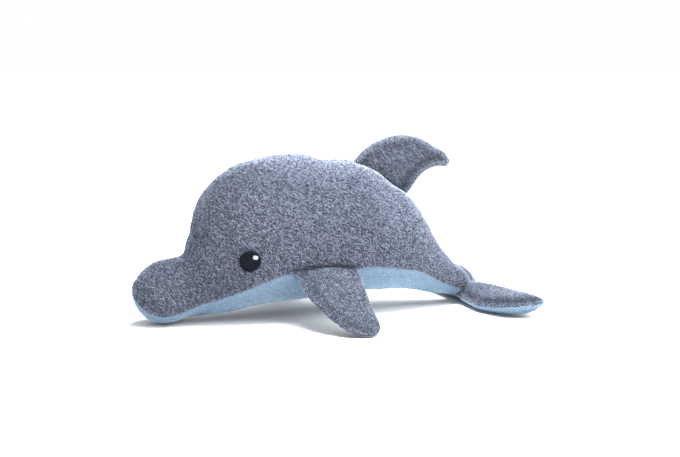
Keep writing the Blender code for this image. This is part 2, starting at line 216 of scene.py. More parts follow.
class StuffingSettings(bpy.types.PropertyGroup):
    pressure: bpy.props.FloatProperty(
        name="Pressure", description="Pressure of the filling on the cloth", default=4.0, min=0.0, max=20.0)
    start_inset: length_setting(
        "Start inset", "How much smaller the cloth is before it is stuffed", 0.0012, 0.0, 0.01)
    most_swell: length_setting("Most swell", "How far the filling may move the cloth", 0.0020, 0.0, 0.02)
    slack: bpy.props.FloatProperty(
        name="Slack", description="Share of spare cloth, which puckers along the seams",
        default=0.018, min=0.0, max=0.2, subtype="FACTOR")
    seam_depth: length_setting("Seam depth", "How deep a seam pulls the cloth in", 0.0012, 0.0, 0.005)


class DolphinColours(bpy.types.PropertyGroup):
    grey: colour_setting("Grey yarn", "Middle shade of the heather grey yarn", "#767f92")
    blue: colour_setting("Blue yarn", "Middle shade of the pale blue yarn", "#8ea7bc")
    eye: colour_setting("Eye thread", "Navy embroidery thread", "#0f141f")
    glint: colour_setting("Highlight thread", "Pale embroidery thread", "#bcc3d0")
    floor: colour_setting("Floor", "Painted studio floor", "#f4f4f4")


class EyeSettings(bpy.types.PropertyGroup):
    diameter: length_setting("Eye diameter", "Width of the embroidered eye", 0.0192, 0.005, 0.05)
    stitch_pitch: length_setting(
        "Thread spacing", "Distance between threads, coarser than real ones so that they show",
        0.00055, 0.0002, 0.002)
    glint_width: length_setting("Highlight width", "Width of the stitched highlight", 0.0044, 0.001, 0.02)
    glint_height: length_setting(
        "Highlight height", "Height of the stitched highlight", 0.0035, 0.001, 0.02)


# Curves of the pattern

def smooth_curve(places, values, place):
    """A smooth line through the stations without overshoot between them."""
    places = np.asarray(places, float)
    values = np.asarray(values, float)
    steps = np.diff(places)
    slopes = np.diff(values) / steps
    tangents = np.empty(len(places))
    tangents[0] = slopes[0]
    tangents[-1] = slopes[-1]
    for i in range(1, len(places) - 1):
        before, after = slopes[i - 1], slopes[i]
        if before * after <= 0:
            tangents[i] = 0.0
        else:
            near = 2 * steps[i] + steps[i - 1]
            far = steps[i] + 2 * steps[i - 1]
            tangents[i] = (near + far) / (near / before + far / after)
    i = int(np.clip(np.searchsorted(places, place) - 1, 0, len(steps) - 1))
    t = (place - places[i]) / steps[i]
    start = values[i] * (1 + 2 * t) * (1 - t) ** 2 + tangents[i] * steps[i] * t * (1 - t) ** 2
    end = values[i + 1] * t * t * (3 - 2 * t) - tangents[i + 1] * steps[i] * t * t * (1 - t)
    return start + end


def round_end(distance, rounding):
    """Share of the full size this far from a rounded end."""
    if distance >= rounding:
        return 1.0
    return math.sqrt(max(0.0, 1.0 - (1.0 - distance / rounding) ** 2))


# The seam is drawn under the nose, most of all at its tip, as the grey pile brushes over it there
NOSE_SEAM_DROP = 0.36
NOSE_SEAM_LENGTH = 0.050
NOSE_TIP_DROP = 0.55
NOSE_TIP_LENGTH = 0.016


def body_section(x):
    """Back, belly, half width, widest height and seam height at a place along the body."""
    stations = np.array(BODY_STATIONS)
    back, belly, width, seam = (
        smooth_curve(stations[:, 0], stations[:, column], x / BODY_LENGTH) for column in (1, 2, 3, 4))
    back, belly, seam = back * BODY_HEIGHT, belly * BODY_HEIGHT, seam * BODY_HEIGHT
    half_width = width * BODY_WIDTH / 2
    widest = belly + WIDEST_SHARE * (back - belly)
    for distance, rounding, height in (
        (x, NOSE_ROUNDING, NOSE_HEIGHT),
        (BODY_LENGTH - x, TAIL_ROUNDING, TAIL_HEIGHT),
    ):
        share = round_end(distance, rounding)
        half_width *= share
        back, belly, widest, seam = (height + (z - height) * share for z in (back, belly, widest, seam))
    drop = NOSE_SEAM_DROP * max(0.0, 1 - x / NOSE_SEAM_LENGTH)
    drop += NOSE_TIP_DROP * max(0.0, 1 - x / NOSE_TIP_LENGTH) ** 2
    seam = belly + (seam - belly) * (1 - drop)
    return back, belly, half_width, widest, seam


# Rounding of the cloth where it lies on the floor
REST_ROUNDING = 0.0024


def rested(heights):
    """Heights with the ones near the floor lifted just above it, as soft cloth lies on it."""
    return (heights + np.sqrt(heights ** 2 + REST_ROUNDING ** 2)) / 2


# Points along the back by which the rings are spaced
PROFILE_POINTS = 600


def body_grid():
    """Rings of points from the nose to the tail, with the nose and the tail tip as rows of one point."""
    fine = BODY_LENGTH * (1 - np.cos(np.linspace(0, math.pi, PROFILE_POINTS))) / 2
    heights = [body_section(x)[0] for x in fine]
    travelled = np.concatenate([[0.0], np.cumsum(np.hypot(np.diff(fine), np.diff(heights)))])
    wanted = np.linspace(0, travelled[-1], BODY_RINGS + 2)[1:-1]
    columns = 2 * (SIDE_COLUMNS + BELLY_COLUMNS)
    rows = [np.tile([NOSE_X, 0.0, NOSE_HEIGHT], (columns, 1))]
    for x in np.interp(wanted, travelled, fine):
        back, belly, half_width, widest, seam = body_section(x)
        seam_angle = -math.asin(min(1.0, max(-1.0, (widest - seam) / (widest - belly))))
        side = np.linspace(math.pi / 2, seam_angle, SIDE_COLUMNS + 1)
        under = np.linspace(seam_angle, -math.pi / 2, BELLY_COLUMNS + 1)
        angles = np.concatenate([side, under[1:]])
        rise = np.where(angles > 0, back - widest, widest - belly)
        left = np.stack([
            np.full(len(angles), NOSE_X + x),
            -half_width * np.cos(angles),
            rested(widest + rise * np.sin(angles)),
        ], axis=1)
        rows.append(np.concatenate([left, left[-2:0:-1] * OTHER_SIDE]))
    rows.append(np.tile([NOSE_X + BODY_LENGTH, 0.0, TAIL_HEIGHT], (columns, 1)))
    return np.array(rows)


# The way a fin grows at a place is measured over this part of its span
SLOPE_PARTS = 500


def fin_grid(sections, rounding, facing, spots, two_tips=False):
    """Rings of points of a fin at the given shares of its span. A tip is a row of one point."""
    leads = np.array([section[0] for section in sections])
    trails = np.array([section[1] for section in sections])
    halves = np.array([section[2] for section in sections])
    middles = (leads + trails) / 2
    places = np.concatenate([[0.0], np.cumsum(np.linalg.norm(np.diff(middles, axis=0), axis=1))])
    span = places[-1]
    nudge = span / SLOPE_PARTS
    angles = np.linspace(0, 2 * math.pi, FIN_COLUMNS, endpoint=False)[:, None]

    def at(values, place):
        return np.array([smooth_curve(places, values[:, i], place) for i in range(3)])

    rows = []
    for place in np.asarray(spots) * span:
        lead, trail = at(leads, place), at(trails, place)
        share = round_end(span - place, rounding)
        if two_tips:
            share *= round_end(place, rounding)
        chord = lead - trail
        width = np.linalg.norm(chord)
        forward = chord / width
        outward = at(middles, min(span, place + nudge)) - at(middles, max(0.0, place - nudge))
        normal = np.cross(outward, forward)
        normal *= math.copysign(1, np.dot(normal, facing)) / np.linalg.norm(normal)
        reach = width / 2 * share
        height = smooth_curve(places, halves, place) * share
        middle = (lead + trail) / 2
        rows.append(middle + forward * reach * np.cos(angles) + normal * height * np.sin(angles))
    return np.array(rows)


def dorsal_sections():
    """Front edge, rear edge and half thickness of the dorsal fin, from its root to its tip."""
    start = FIN_START_SHARE * BODY_LENGTH
    base = body_section(start + FIN_BASE_SHARE * FIN_LENGTH)[0]
    sections = []
    for lead, trail, share in FIN_SECTIONS:
        edges = [
            np.array([NOSE_X + start + along * FIN_LENGTH, 0.0, base + up * FIN_DEPTH])
            for along, up in (lead, trail)
        ]
        sections.append((*edges, share * FIN_THICKNESS / 2))
    return sections


def flipper_sections():
    """Front edge, rear edge and half thickness of the left flipper, from its root to its tip."""
    start = FLIPPER_START_SHARE * BODY_LENGTH
    _, belly, half_width, widest, seam = body_section(start + FLIPPER_WIDTH / 2)
    seam_out = half_width * math.sqrt(1 - ((widest - seam) / (widest - belly)) ** 2)
    sections = []
    for out, lead, trail, share in FLIPPER_SECTIONS:
        y = -(seam_out + (FLIPPER_REACH - seam_out) * out)
        z = seam + (FLIPPER_TIP_HEIGHT - seam) * out
        edges = [np.array([NOSE_X + start + x * FLIPPER_WIDTH, y, z]) for x in (lead, trail)]
        sections.append((*edges, share * FLIPPER_THICKNESS / 2))
    return sections


def fluke_sections():
    """Front edge, rear edge and half thickness of the flukes, from the left tip to the right one."""
    start = NOSE_X + BODY_LENGTH - FLUKE_OVERLAP
    half = []
    for out, lead, trail, front_height, rear_height, share in FLUKE_SECTIONS:
        y = -out * FLUKE_SPAN / 2
        front = np.array([start + lead * FLUKE_LENGTH, y, front_height * FLUKE_THICKNESS])
        rear = np.array([start + trail * FLUKE_LENGTH, y, rear_height * FLUKE_THICKNESS])
        half.append((front, rear, share * FLUKE_THICKNESS / 2))
    other = [
        (front * OTHER_SIDE, rear * OTHER_SIDE + UP * lift, height)
        for (front, rear, height), lift in zip(half[1:], FLUKE_LIFT)
    ]
    return half[::-1] + other


# Cloth

# Lengths that count as nothing, and the distance within which two points are one
TINY = 1e-12
SHORT = 1e-9
SAME_PLACE = 1e-7
WELD_DISTANCE = 1e-6

# How often the swell of the cloth is evened out with its surroundings
SOFTENING_ROUNDS = 3

# Pile cloth in the simulation: it gives a little and bends easily, and its seams hold
CLOTH = {
    "quality": 5,
    "mass": 0.3,
    "tension_stiffness": 12,
    "compression_stiffness": 12,
    "shear_stiffness": 5,
    "bending_stiffness": 0.4,
    "use_pressure": True,
    "vertex_group_mass": "sewn",
    "pin_stiffness": 1.0,
}


def grid_faces(rows, columns, closed):
    """Two triangles for each cell of a grid of points, as rows of three point numbers."""
    across = np.arange(columns if closed else columns - 1)
    i, k = np.meshgrid(np.arange(rows - 1), across, indexing="ij")
    after = (k + 1) % columns
    a, b = i * columns + k, i * columns + after
    c, d = b + columns, a + columns
    return np.concatenate([np.stack(corners, -1).reshape(-1, 3) for corners in ((a, b, c), (a, c, d))])


def grid_normals(grid):
    """Unit normals of a bag's grid of points. They point out of the bag."""
    along = np.gradient(grid, axis=0)
    around = np.roll(grid, -1, axis=1) - np.roll(grid, 1, axis=1)
    normals = np.cross(around, along)
    lengths = np.linalg.norm(normals, axis=2, keepdims=True)
    normals = normals / np.maximum(lengths, TINY)
    for row, near in ((0, 1), (-1, -2)):
        if is_point(grid[row]):
            mean = normals[near].mean(axis=0)
            normals[row] = mean / np.linalg.norm(mean)
    inside = grid.mean(axis=1, keepdims=True)
    if (normals * (grid - inside)).sum() < 0:
        normals = -normals
    return normals


def is_point(row):
    """Whether a row of a grid is one point, as it is at a closed tip."""
    return np.ptp(row, axis=0).max() < SAME_PLACE


def between(lines):
    """Halfway lines on a smooth curve through each line's two neighbours on both sides."""
    before, near, far, beyond = lines
    return (9 * (near + far) - before - beyond) / 16


def finer(grid):
    """A bag's grid with a point added between each two, on a smooth curve through its neighbours."""
    before = np.concatenate([2 * grid[:1] - grid[1:2], grid[:-2]])
    beyond = np.concatenate([grid[2:], 2 * grid[-1:] - grid[-2:-1]])
    rows = np.empty((2 * len(grid) - 1, *grid.shape[1:]))
    rows[0::2] = grid
    rows[1::2] = between((before, grid[:-1], grid[1:], beyond))
    result = np.empty((len(rows), 2 * grid.shape[1], 3))
    result[:, 0::2] = rows
    result[:, 1::2] = between([np.roll(rows, shift, axis=1) for shift in (1, 0, -1, -2)])
    return result


def softened(field):
    """A field over a grid with its sharpest steps taken off, as thick pile cloth doesn't fold sharply."""
    for _ in range(SOFTENING_ROUNDS):
        around = (np.roll(field, 1, axis=1) + np.roll(field, -1, axis=1)) / 2
        along = field.copy()
        along[1:-1] = (field[2:] + field[:-2]) / 2
        field = field / 2 + (around + along) / 4
    return field


def stuffed(grid, pinned, settings, inset, slack, most_swell, ease=1.0):
    """The grid after the filling has pressed its cloth outwards. Pinned points are the sewn ones.

    The cloth moves less where ease is less than 1.
    """
    start = grid - grid_normals(grid) * np.where(pinned, 0.0, inset * ease)[..., None]
    rows, columns, _ = grid.shape
    shape = bpy.data.meshes.new("stuffing_trial")
    shape.from_pydata(start.reshape(-1, 3), [], grid_faces(rows, columns, True).tolist())
    work = bmesh.new()
    work.from_mesh(shape)
    number = work.verts.layers.int.new("number")
    for vertex in work.verts:
        vertex[number] = vertex.index
    bmesh.ops.remove_doubles(work, verts=work.verts, dist=WELD_DISTANCE)
    ends = [edge for edge in work.edges if edge.is_boundary]
    if ends:
        bmesh.ops.holes_fill(work, edges=ends)
    bmesh.ops.recalc_face_normals(work, faces=work.faces)
    work.verts.ensure_lookup_table()
    numbers = np.array([vertex[number] for vertex in work.verts])
    work.to_mesh(shape)
    work.free()
    trial = bpy.data.objects.new("stuffing_trial", shape)
    bpy.context.scene.collection.objects.link(trial)
    sewn = trial.vertex_groups.new(name="sewn")
    flat_pins = pinned.ravel()
    sewn.add([i for i, n in enumerate(numbers) if flat_pins[n]], 1.0, "REPLACE")
    cloth = trial.modifiers.new("filling", "CLOTH")
    for key, value in CLOTH.items():
        setattr(cloth.settings, key, value)
    cloth.settings.uniform_pressure_force = settings.pressure
    cloth.settings.shrink_min = -slack
    cloth.settings.effector_weights.gravity = 0.0
    cloth.collision_settings.use_collision = False
    cloth.collision_settings.use_self_collision = False
    cloth.point_cache.frame_start = 1
    cloth.point_cache.frame_end = CLOTH_STEPS
    scene = bpy.context.scene
    for step in range(1, CLOTH_STEPS + 1):
        scene.frame_set(step)
    bpy.ops.object.select_all(action="DESELECT")
    trial.select_set(True)
    bpy.context.view_layer.objects.active = trial
    bpy.ops.object.modifier_apply(modifier=cloth.name)
    moved = np.empty(len(trial.data.vertices) * 3)
    trial.data.vertices.foreach_get("co", moved)
    moved = moved.reshape(-1, 3)
    result = start.reshape(-1, 3).copy()
    result[numbers] = moved
    result = result.reshape(start.shape)
    for row in (0, -1):
        if is_point(start[row]):
            result[row] = result[row][0]
    bpy.data.objects.remove(trial)
    bpy.data.meshes.remove(shape)
    scene.frame_set(1)
    shift = result - start
    length = np.linalg.norm(shift, axis=2, keepdims=True)
    shift *= most_swell * np.tanh(length / most_swell) / np.maximum(length, SHORT)
    return start + softened(shift) * np.broadcast_to(ease, grid.shape[:2])[..., None]


# A smooth random value is the sum of this many waves, divided by this. The wave numbers lie between
# these shares of the one asked for.
WAVES = 7
WAVE_TOTAL = 3
WAVE_RANGE = (0.6, 1.6)


def wander(points, wavelength, seed):
    """A smooth random value of about -1 to 1 at each point."""
    draw = np.random.default_rng(seed)
    total = np.zeros(points.shape[:-1])
    for _ in range(WAVES):
        way = draw.normal(size=3)
        way *= 2 * math.pi / wavelength * draw.uniform(*WAVE_RANGE) / np.linalg.norm(way)
        total += np.sin(points @ way + draw.uniform(0, 2 * math.pi))
    return total / WAVE_TOTAL


def nearest_on(start, end, points):
    """Distance of each point from a straight stretch."""
    way = end - start
    along = np.clip(((points - start) @ way) / (way @ way), 0, 1)
    return np.linalg.norm(points - start - along[..., None] * way, axis=-1)


# The filling lies unevenly under the cloth, by this height over this length
LUMP_HEIGHT = 0.0007
LUMP_LENGTH = 0.055

# Small folds: both ends on the left side, depth and half width.
# A negative depth is a soft ridge.
FOLDS = [
    ((-0.0915, -0.045, 0.0905), (-0.0810, -0.052, 0.0825), 0.0012, 0.0030),
    ((-0.1165, -0.031, 0.0940), (-0.1045, -0.042, 0.0830), 0.0016, 0.0045),
    ((-0.1300, -0.012, 0.0840), (-0.1240, -0.028, 0.0760), 0.0015, 0.0050),
    ((-0.1290, 0.000, 0.1000), (-0.1240, -0.016, 0.0960), -0.0010, 0.0050),
    ((0.0300, -0.024, 0.1330), (0.0780, -0.022, 0.1110), -0.0018, 0.0110),
    ((0.1300, -0.0145, 0.0350), (0.1310, -0.0190, 0.0240), 0.0014, 0.0030),
]

# The slim tail holds little filling, so its cloth hardly swells over this length
TAIL_EASE = 0.10
LEAST_EASE = 0.05

# The pile stands this far above the backing, and less over the last stretch of the tail
PILE_RISE = 0.0008
PILE_RISE_END = 0.02

# The belly hangs this far under its pattern, from this place behind the nose and over this length
BELLY_SAG = 0.0044
BELLY_SAG_START = 0.045
BELLY_SAG_LENGTH = 0.27

# Fullness of the hang across and along the belly: 1 is a sine, and less is fuller
SAG_ACROSS = 0.7
SAG_ALONG = 0.6

# A point further than this from a closed surface is taken to be outside
FAR_OUTSIDE = 0.03


def folded(grid, normals):
    """Small folds of the cloth and the uneven lie of the filling under it."""
    lift = LUMP_HEIGHT * wander(grid, LUMP_LENGTH, 11)
    for start, end, depth, width in FOLDS:
        for side in (1, -1):
            turn = np.array([1, side, 1])
            distance = nearest_on(np.array(start) * turn, np.array(end) * turn, grid)
            lift -= depth * np.exp(-(distance / width) ** 2)
    rise = PILE_RISE * np.clip((NOSE_X + BODY_LENGTH - grid[..., 0]) / PILE_RISE_END, 0, 1)
    result = grid + normals * (lift - rise)[..., None]
    seam = 2 * SIDE_COLUMNS
    across = np.clip((np.arange(grid.shape[1]) - seam) / (grid.shape[1] - 2 * seam), 0, 1)
    along = np.clip((grid[..., 0] - NOSE_X - BELLY_SAG_START) / BELLY_SAG_LENGTH, 0, 1)
    sag = BELLY_SAG * np.sin(math.pi * across) ** SAG_ACROSS * np.sin(math.pi * along) ** SAG_ALONG
    result[..., 2] -= sag
    return result


def closed_faces(grid):
    """Triangles of a bag with a fan over both ends, whose middles are two more points."""
    rows, columns, _ = grid.shape
    first = np.arange(columns)
    after = (first + 1) % columns
    last = (rows - 1) * columns
    return np.concatenate([
        grid_faces(rows, columns, True),
        np.stack([after, first, np.full(columns, rows * columns)], -1),
        np.stack([last + first, last + after, np.full(columns, rows * columns + 1)], -1),
    ])


def outwards(points, triangles):
    """The triangles of a closed shape, turned over if they face inwards."""
    a, b, c = (points[triangles[:, i]] - points.mean(axis=0) for i in range(3))
    return triangles[:, ::-1] if (a * np.cross(b, c)).sum() < 0 else triangles


def tidy(points, triangles, shade):
    """A closed shape with its double points merged, no empty triangles, and its faces outwards."""
    unique, back = np.unique(np.round(points, 7), axis=0, return_inverse=True)
    triangles = back.ravel()[triangles]
    a, b, c = triangles.T
    triangles = triangles[(a != b) & (b != c) & (a != c)]
    return unique, outwards(unique, triangles), np.full(len(unique), shade)


def closed_points(grid):
    """Points of a bag, with the middles of its two ends."""
    return np.concatenate([grid.reshape(-1, 3), grid[[0, -1]].mean(axis=1)])


def surface_tree(grid):
    """A search tree of a bag's surface, closed at both ends, with its triangles facing outwards."""
    points, triangles, _ = tidy(closed_points(grid), closed_faces(grid), 0.0)
    return BVHTree.FromPolygons(points.tolist(), triangles.tolist())


def depths_in(tree, points):
    """How deep each point is inside a closed surface. It is negative outside."""
    depths = np.empty(len(points))
    for i, point in enumerate(points):
        place, normal, _, distance = tree.find_nearest(Vector(point))
        outside = distance > FAR_OUTSIDE or (Vector(point) - place).dot(normal) > 0
        depths[i] = -distance if outside else distance
    return depths


# Cloth lower than this rests on the floor and stays where it is
RESTING_HEIGHT = 0.001

# Shapes of the four stuffed bags, made once and used by every piece

bags = {}


def body_bag():
    """The stuffed body."""
    if "body" not in bags:
        settings = bpy.context.scene.dolphin_stuffing
        grid = body_grid()
        pinned = np.zeros(grid.shape[:2], bool)
        columns = grid.shape[1]
        pinned[:, [0, SIDE_COLUMNS, columns - SIDE_COLUMNS]] = True
        pinned[[0, 1, -2, -1]] = True
        pinned |= grid[..., 2] < RESTING_HEIGHT
        ease = np.clip((NOSE_X + BODY_LENGTH - grid[..., 0]) / TAIL_EASE, LEAST_EASE, 1)
        grid = stuffed(
            grid, pinned, settings, settings.start_inset, settings.slack, settings.most_swell, ease)
        grid = finer(grid)
        grid = folded(grid, grid_normals(grid))
        grid[..., 2] = np.maximum(grid[..., 2], 0.0)
        bags["body"] = grid
        bags["body_tree"] = surface_tree(grid)
    return bags["body"]


# Share of a fin's rows that crowd towards its tip
TIP_CROWDING = 0.6


def seated(dense, seat):
    """Resample each line of points from where it leaves the body to the tip of the fin."""
    tree = bags["body_tree"]
    rows, columns, _ = dense.shape
    depths = depths_in(tree, dense.reshape(-1, 3)).reshape(rows, columns)
    crowded = np.sin(np.linspace(0, math.pi / 2, FIN_ROWS + 1))
    shares = crowded * TIP_CROWDING + np.linspace(0, 1, FIN_ROWS + 1) * (1 - TIP_CROWDING)
    result = np.empty((FIN_ROWS + 1, columns, 3))
    for k in range(columns):
        buried = np.nonzero(depths[:, k] > seat)[0]
        first = 0.0
        if len(buried) and buried[-1] + 1 < rows:
            i = buried[-1]
            first = i + (depths[i, k] - seat) / (depths[i, k] - depths[i + 1, k])
        line = first + shares * (rows - 1 - first)
        for axis in range(3):
            result[:, k, axis] = np.interp(line, np.arange(rows), dense[:, k, axis])
    return result


# Depth of a fin's root and of the flukes in the body, and the body drawn in round a root
ROOT_SINK = 0.0026
FLUKE_SINK = 0.0022
ROOT_PRESS = 0.0018
ROOT_PRESS_WIDTH = 0.0042


def root_tree():
    """A search tree of the places where the dorsal fin and the flippers meet the body."""
    if "roots" not in bags:
        rings = [fin_bag("dorsal")[0], fin_bag("flipper")[0], fin_bag("flipper")[0] * OTHER_SIDE]
        bags["roots"] = tree_of(np.concatenate(rings))
    return bags["roots"]


def tree_of(places):
    """A search tree of places."""
    tree = kdtree.KDTree(len(places))
    for number, place in enumerate(places):
        tree.insert(place, number)
    tree.balance()
    return tree


def nearest(tree, places):
    """Distance of each place from the nearest one in the tree."""
    distances = [tree.find(place)[2] for place in places.reshape(-1, 3)]
    return np.array(distances).reshape(places.shape[:-1])


def near_root(places, width):
    """1 at the root of a fin, falling to 0 over the given width."""
    return np.exp(-(nearest(root_tree(), places) / width) ** 2)


def pressed(grid):
    """The body drawn in by the stitches round the roots of the fins."""
    return grid - grid_normals(grid) * (ROOT_PRESS * near_root(grid, ROOT_PRESS_WIDTH))[..., None]


# Edge of each fin. A hollow lies inside the seam allowance: its depth, distance from the edge and half
# width. Then the painted shade in the hollow, the painted highlight along the edge and how far that
# reaches, and how light the face is painted, which also sets its contrast.
RIMS = {
    "dorsal": {"hollow": 0.0018, "place": 0.0105, "width": 0.0050,
               "shade": 0.26, "light": 0.85, "reach": 0.0055, "level": 0.86},
    "flipper": {"hollow": 0.0007, "place": 0.0075, "width": 0.0036,
                "shade": 0.12, "light": 0.06, "reach": 0.0036, "level": 0.58},
    "flukes": {"hollow": 0.0014, "place": 0.0075, "width": 0.0036,
               "shade": 0.24, "light": 0.12, "reach": 0.0036, "level": 0.66},
}

# Thickness left where a fin is sewn in, and how far out it is full again
ROOT_PINCH = {"dorsal": 0.70, "flipper": 0.30, "flukes": 1.0}
PINCH_REACH = 0.020


def pinched(grid, left):
    """A fin drawn flat towards its sewn root."""
    out = np.clip(np.linalg.norm(grid - grid[:1], axis=2) / PINCH_REACH, 0, 1)[..., None]
    share = left + (1 - left) * out * (2 - out)
    sheet = (grid + opposite(grid)) / 2
    return sheet + (grid - sheet) * share


def opposite(grid):
    """The points on a fin's other face."""
    return grid[:, -np.arange(grid.shape[1])]


def in_hollow(rim, distance):
    """1 in the middle of a fin's hollow, falling to 0 on both sides of it."""
    return np.exp(-((distance - rim["place"]) / rim["width"]) ** 2)


def hollowed(grid, rim):
    """A fin with a soft hollow along the inside of its edges."""
    half = grid.shape[1] // 2
    reach = [np.linalg.norm(grid - grid[:, [k]], axis=2) for k in (0, half)]
    depths = rim["hollow"] * in_hollow(rim, np.minimum(*reach))
    return grid - grid_normals(grid) * depths[..., None]


# Rows of a fin before its root is fitted to the body, and how high its lowest cloth lies
DENSE_ROWS = 90
FIN_CLEARANCE = 0.0004

# A fin's inset, slack and swell are the body's divided by these
FIN_INSET_PART = 4
FIN_SLACK_PART = 3
FIN_SWELL_PART = 2


def fin_pattern(name):
    """The grid of a fin before it is stuffed. The dorsal fin and the flipper start at the body."""
    if name == "flukes":
        # Half of the rows crowd towards the two tips
        turn = np.linspace(0, math.pi, FLUKE_ROWS + 1)
        spots = (1 - np.cos(turn)) * 0.25 + np.linspace(0, 0.5, FLUKE_ROWS + 1)
        return fin_grid(fluke_sections(), FLUKE_TIP_ROUNDING, UP, spots, True)
    spots = np.sin(np.linspace(0, math.pi / 2, DENSE_ROWS))
    if name == "dorsal":
        grid = fin_grid(dorsal_sections(), FIN_TIP_ROUNDING, LEFT, spots)
    else:
        grid = fin_grid(flipper_sections(), FLIPPER_TIP_ROUNDING, UP, spots)
    return seated(grid, ROOT_SINK)


def fin_bag(name):
    """The stuffed dorsal fin, left flipper or flukes."""
    if name not in bags:
        body_bag()
        settings = bpy.context.scene.dolphin_stuffing
        grid = fin_pattern(name)
        pinned = np.zeros(grid.shape[:2], bool)
        pinned[:, [0, FIN_COLUMNS // 2]] = True
        pinned[[0, -1]] = True
        grid = finer(stuffed(
            grid, pinned, settings, settings.start_inset / FIN_INSET_PART,
            settings.slack / FIN_SLACK_PART, settings.most_swell / FIN_SWELL_PART))
        grid = pinched(hollowed(grid, RIMS[name]), ROOT_PINCH[name])
        bags[name + "_edges"] = tree_of(grid[:, [0, grid.shape[1] // 2]].reshape(-1, 3))
        grid[..., 2] = np.maximum(grid[..., 2], FIN_CLEARANCE)
        if name == "flukes":
            flat = grid.reshape(-1, 3)
            tree = bags["body_tree"]
            for i, deep in enumerate(depths_in(tree, flat)):
                if deep > FLUKE_SINK:
                    place, normal, _, _ = tree.find_nearest(Vector(flat[i]))
                    flat[i] = place - normal * FLUKE_SINK
        bags[name] = grid
    return bags[name]


# Loops of yarn

# Painted shade on the head and the tail: the loops are painted less light there, with less contrast.
# Places along the body and shares. The pile is shorter and more even on the tail and the flukes.
PAINTED_HEAD_TAIL_SHADE = ((-0.110, -0.060, 0.070, 0.120), (0.62, 1.0, 1.0, 0.80))
SHORTER = ((0.060, 0.120), (1.0, 0.55))

# How much the loops differ: the spread of their sizes, heights, widths, bends and tones as shares,
# and the least and most of the first three
SIZE_SPREAD = 0.22
SIZE_RANGE = (0.55, 1.6)
HEIGHT_SPREAD = 0.20
HEIGHT_RANGE = (0.45, 1.6)
WIDTH_SPREAD = 0.15
WIDTH_RANGE = (0.6, 1.5)
BEND_SPREAD = 0.45
TONE_SPREAD = 0.25

# Loops clump together over this length, higher and lighter in the clump
CLUMP_LENGTH = 0.0085
CLUMP_HEIGHT = 0.16
CLUMP_TONE = 0.05

# The nap drifts to one side and back over this length, by this angle in radians
DRIFT_LENGTH = 0.030
DRIFT_TURN = 0.18

# Painted shade at a loop's foot, and how much lighter its top is painted, as painted highlight
PAINTED_FOOT_SHADE = 0.2
PAINTED_TOP_LIGHT = 0.6

# Painted shadow in the crease at the root of a fin: this much darker over this width
PAINTED_CREASE_SHADOW = 0.40
CREASE_WIDTH = 0.0032

# Loops further than this from a bag's box can't lie under its cloth
NEAR_BAG = 0.002

# Tries for each loop that is kept when loops are scattered
SCATTER_TRIES = 5

# An end of a loop, sunk into the cloth, and its painted light, which is low, as painted shade
LOOP_END = (0.5, 0.0, -0.15)
END_LIGHT = 0.1

# Each ring of a loop: place along it, height and girth, as shares of its size, and how light its sides are
# painted, as painted shade beside the painted highlight on top
PILE_RINGS = [(0.0, 1.00, 1.00, 0.45)]
STITCH_RINGS = [(-0.40, 0.62, 0.90, 0.1), (0.0, 1.00, 1.00, 0.1), (0.40, 0.62, 0.90, 0.1)]


def loop_shape(rings):
    """Points and triangles of one closed loop: two ends and rings of three points between them."""
    end_along, end_side, end_depth = LOOP_END
    points = [(-end_along, end_side, end_depth)]
    heights = [0.0]
    lights = [END_LIGHT]
    for along, height, girth, side in rings:
        for angle in (90, 210, 330):
            turn = math.radians(angle)
            points.append((along, girth * math.cos(turn) / 2, girth * math.sin(turn) / 2))
            heights.append(height)
            lights.append(1.0 if angle == 90 else side)
    points.append(LOOP_END)
    heights.append(0.0)
    lights.append(END_LIGHT)
    faces = [(0, 1 + k, 1 + (k + 1) % 3) for k in range(3)]
    for ring in range(len(rings) - 1):
        for k in range(3):
            a, b = 1 + 3 * ring + k, 1 + 3 * ring + (k + 1) % 3
            faces += [(a, a + 3, b), (b, a + 3, b + 3)]
    end = 1 + 3 * len(rings)
    faces += [(end - 3 + k, end, end - 3 + (k + 1) % 3) for k in range(3)]
    return np.array(points), np.array(heights), np.array(lights), np.array(faces)


def loops(places, ways, normals, lengths, widths, heights, bends, rings):
    """Points, triangles and the painted light of each point, for a closed loop of yarn at each place."""
    shape, rises, lights, faces = loop_shape(rings)
    across = np.cross(normals, ways)
    along = shape[:, 0][None, :, None] * lengths[:, None, None] * ways[:, None, :]
    arch = 1 - (2 * shape[:, 0]) ** 2
    side = shape[:, 1][None, :] * widths[:, None] + arch[None, :] * bends[:, None]
    up = rises[None, :] * heights[:, None] + shape[:, 2][None, :] * widths[:, None]
    sideways, upwards = side[..., None] * across[:, None, :], up[..., None] * normals[:, None, :]
    points = places[:, None, :] + along + sideways + upwards
    count = len(shape)
    triangles = (faces[None] + count * np.arange(len(places))[:, None, None]).reshape(-1, 3)
    return points.reshape(-1, 3), triangles, np.tile(lights, len(places))


def flat_ways(ways, normals):
    """Directions laid into the cloth."""
    ways = ways - (ways * normals).sum(axis=1, keepdims=True) * normals
    return ways / np.maximum(np.linalg.norm(ways, axis=1, keepdims=True), SHORT)


def turned(ways, normals, angles):
    """Directions turned in the cloth."""
    return ways * np.cos(angles)[:, None] + np.cross(normals, ways) * np.sin(angles)[:, None]


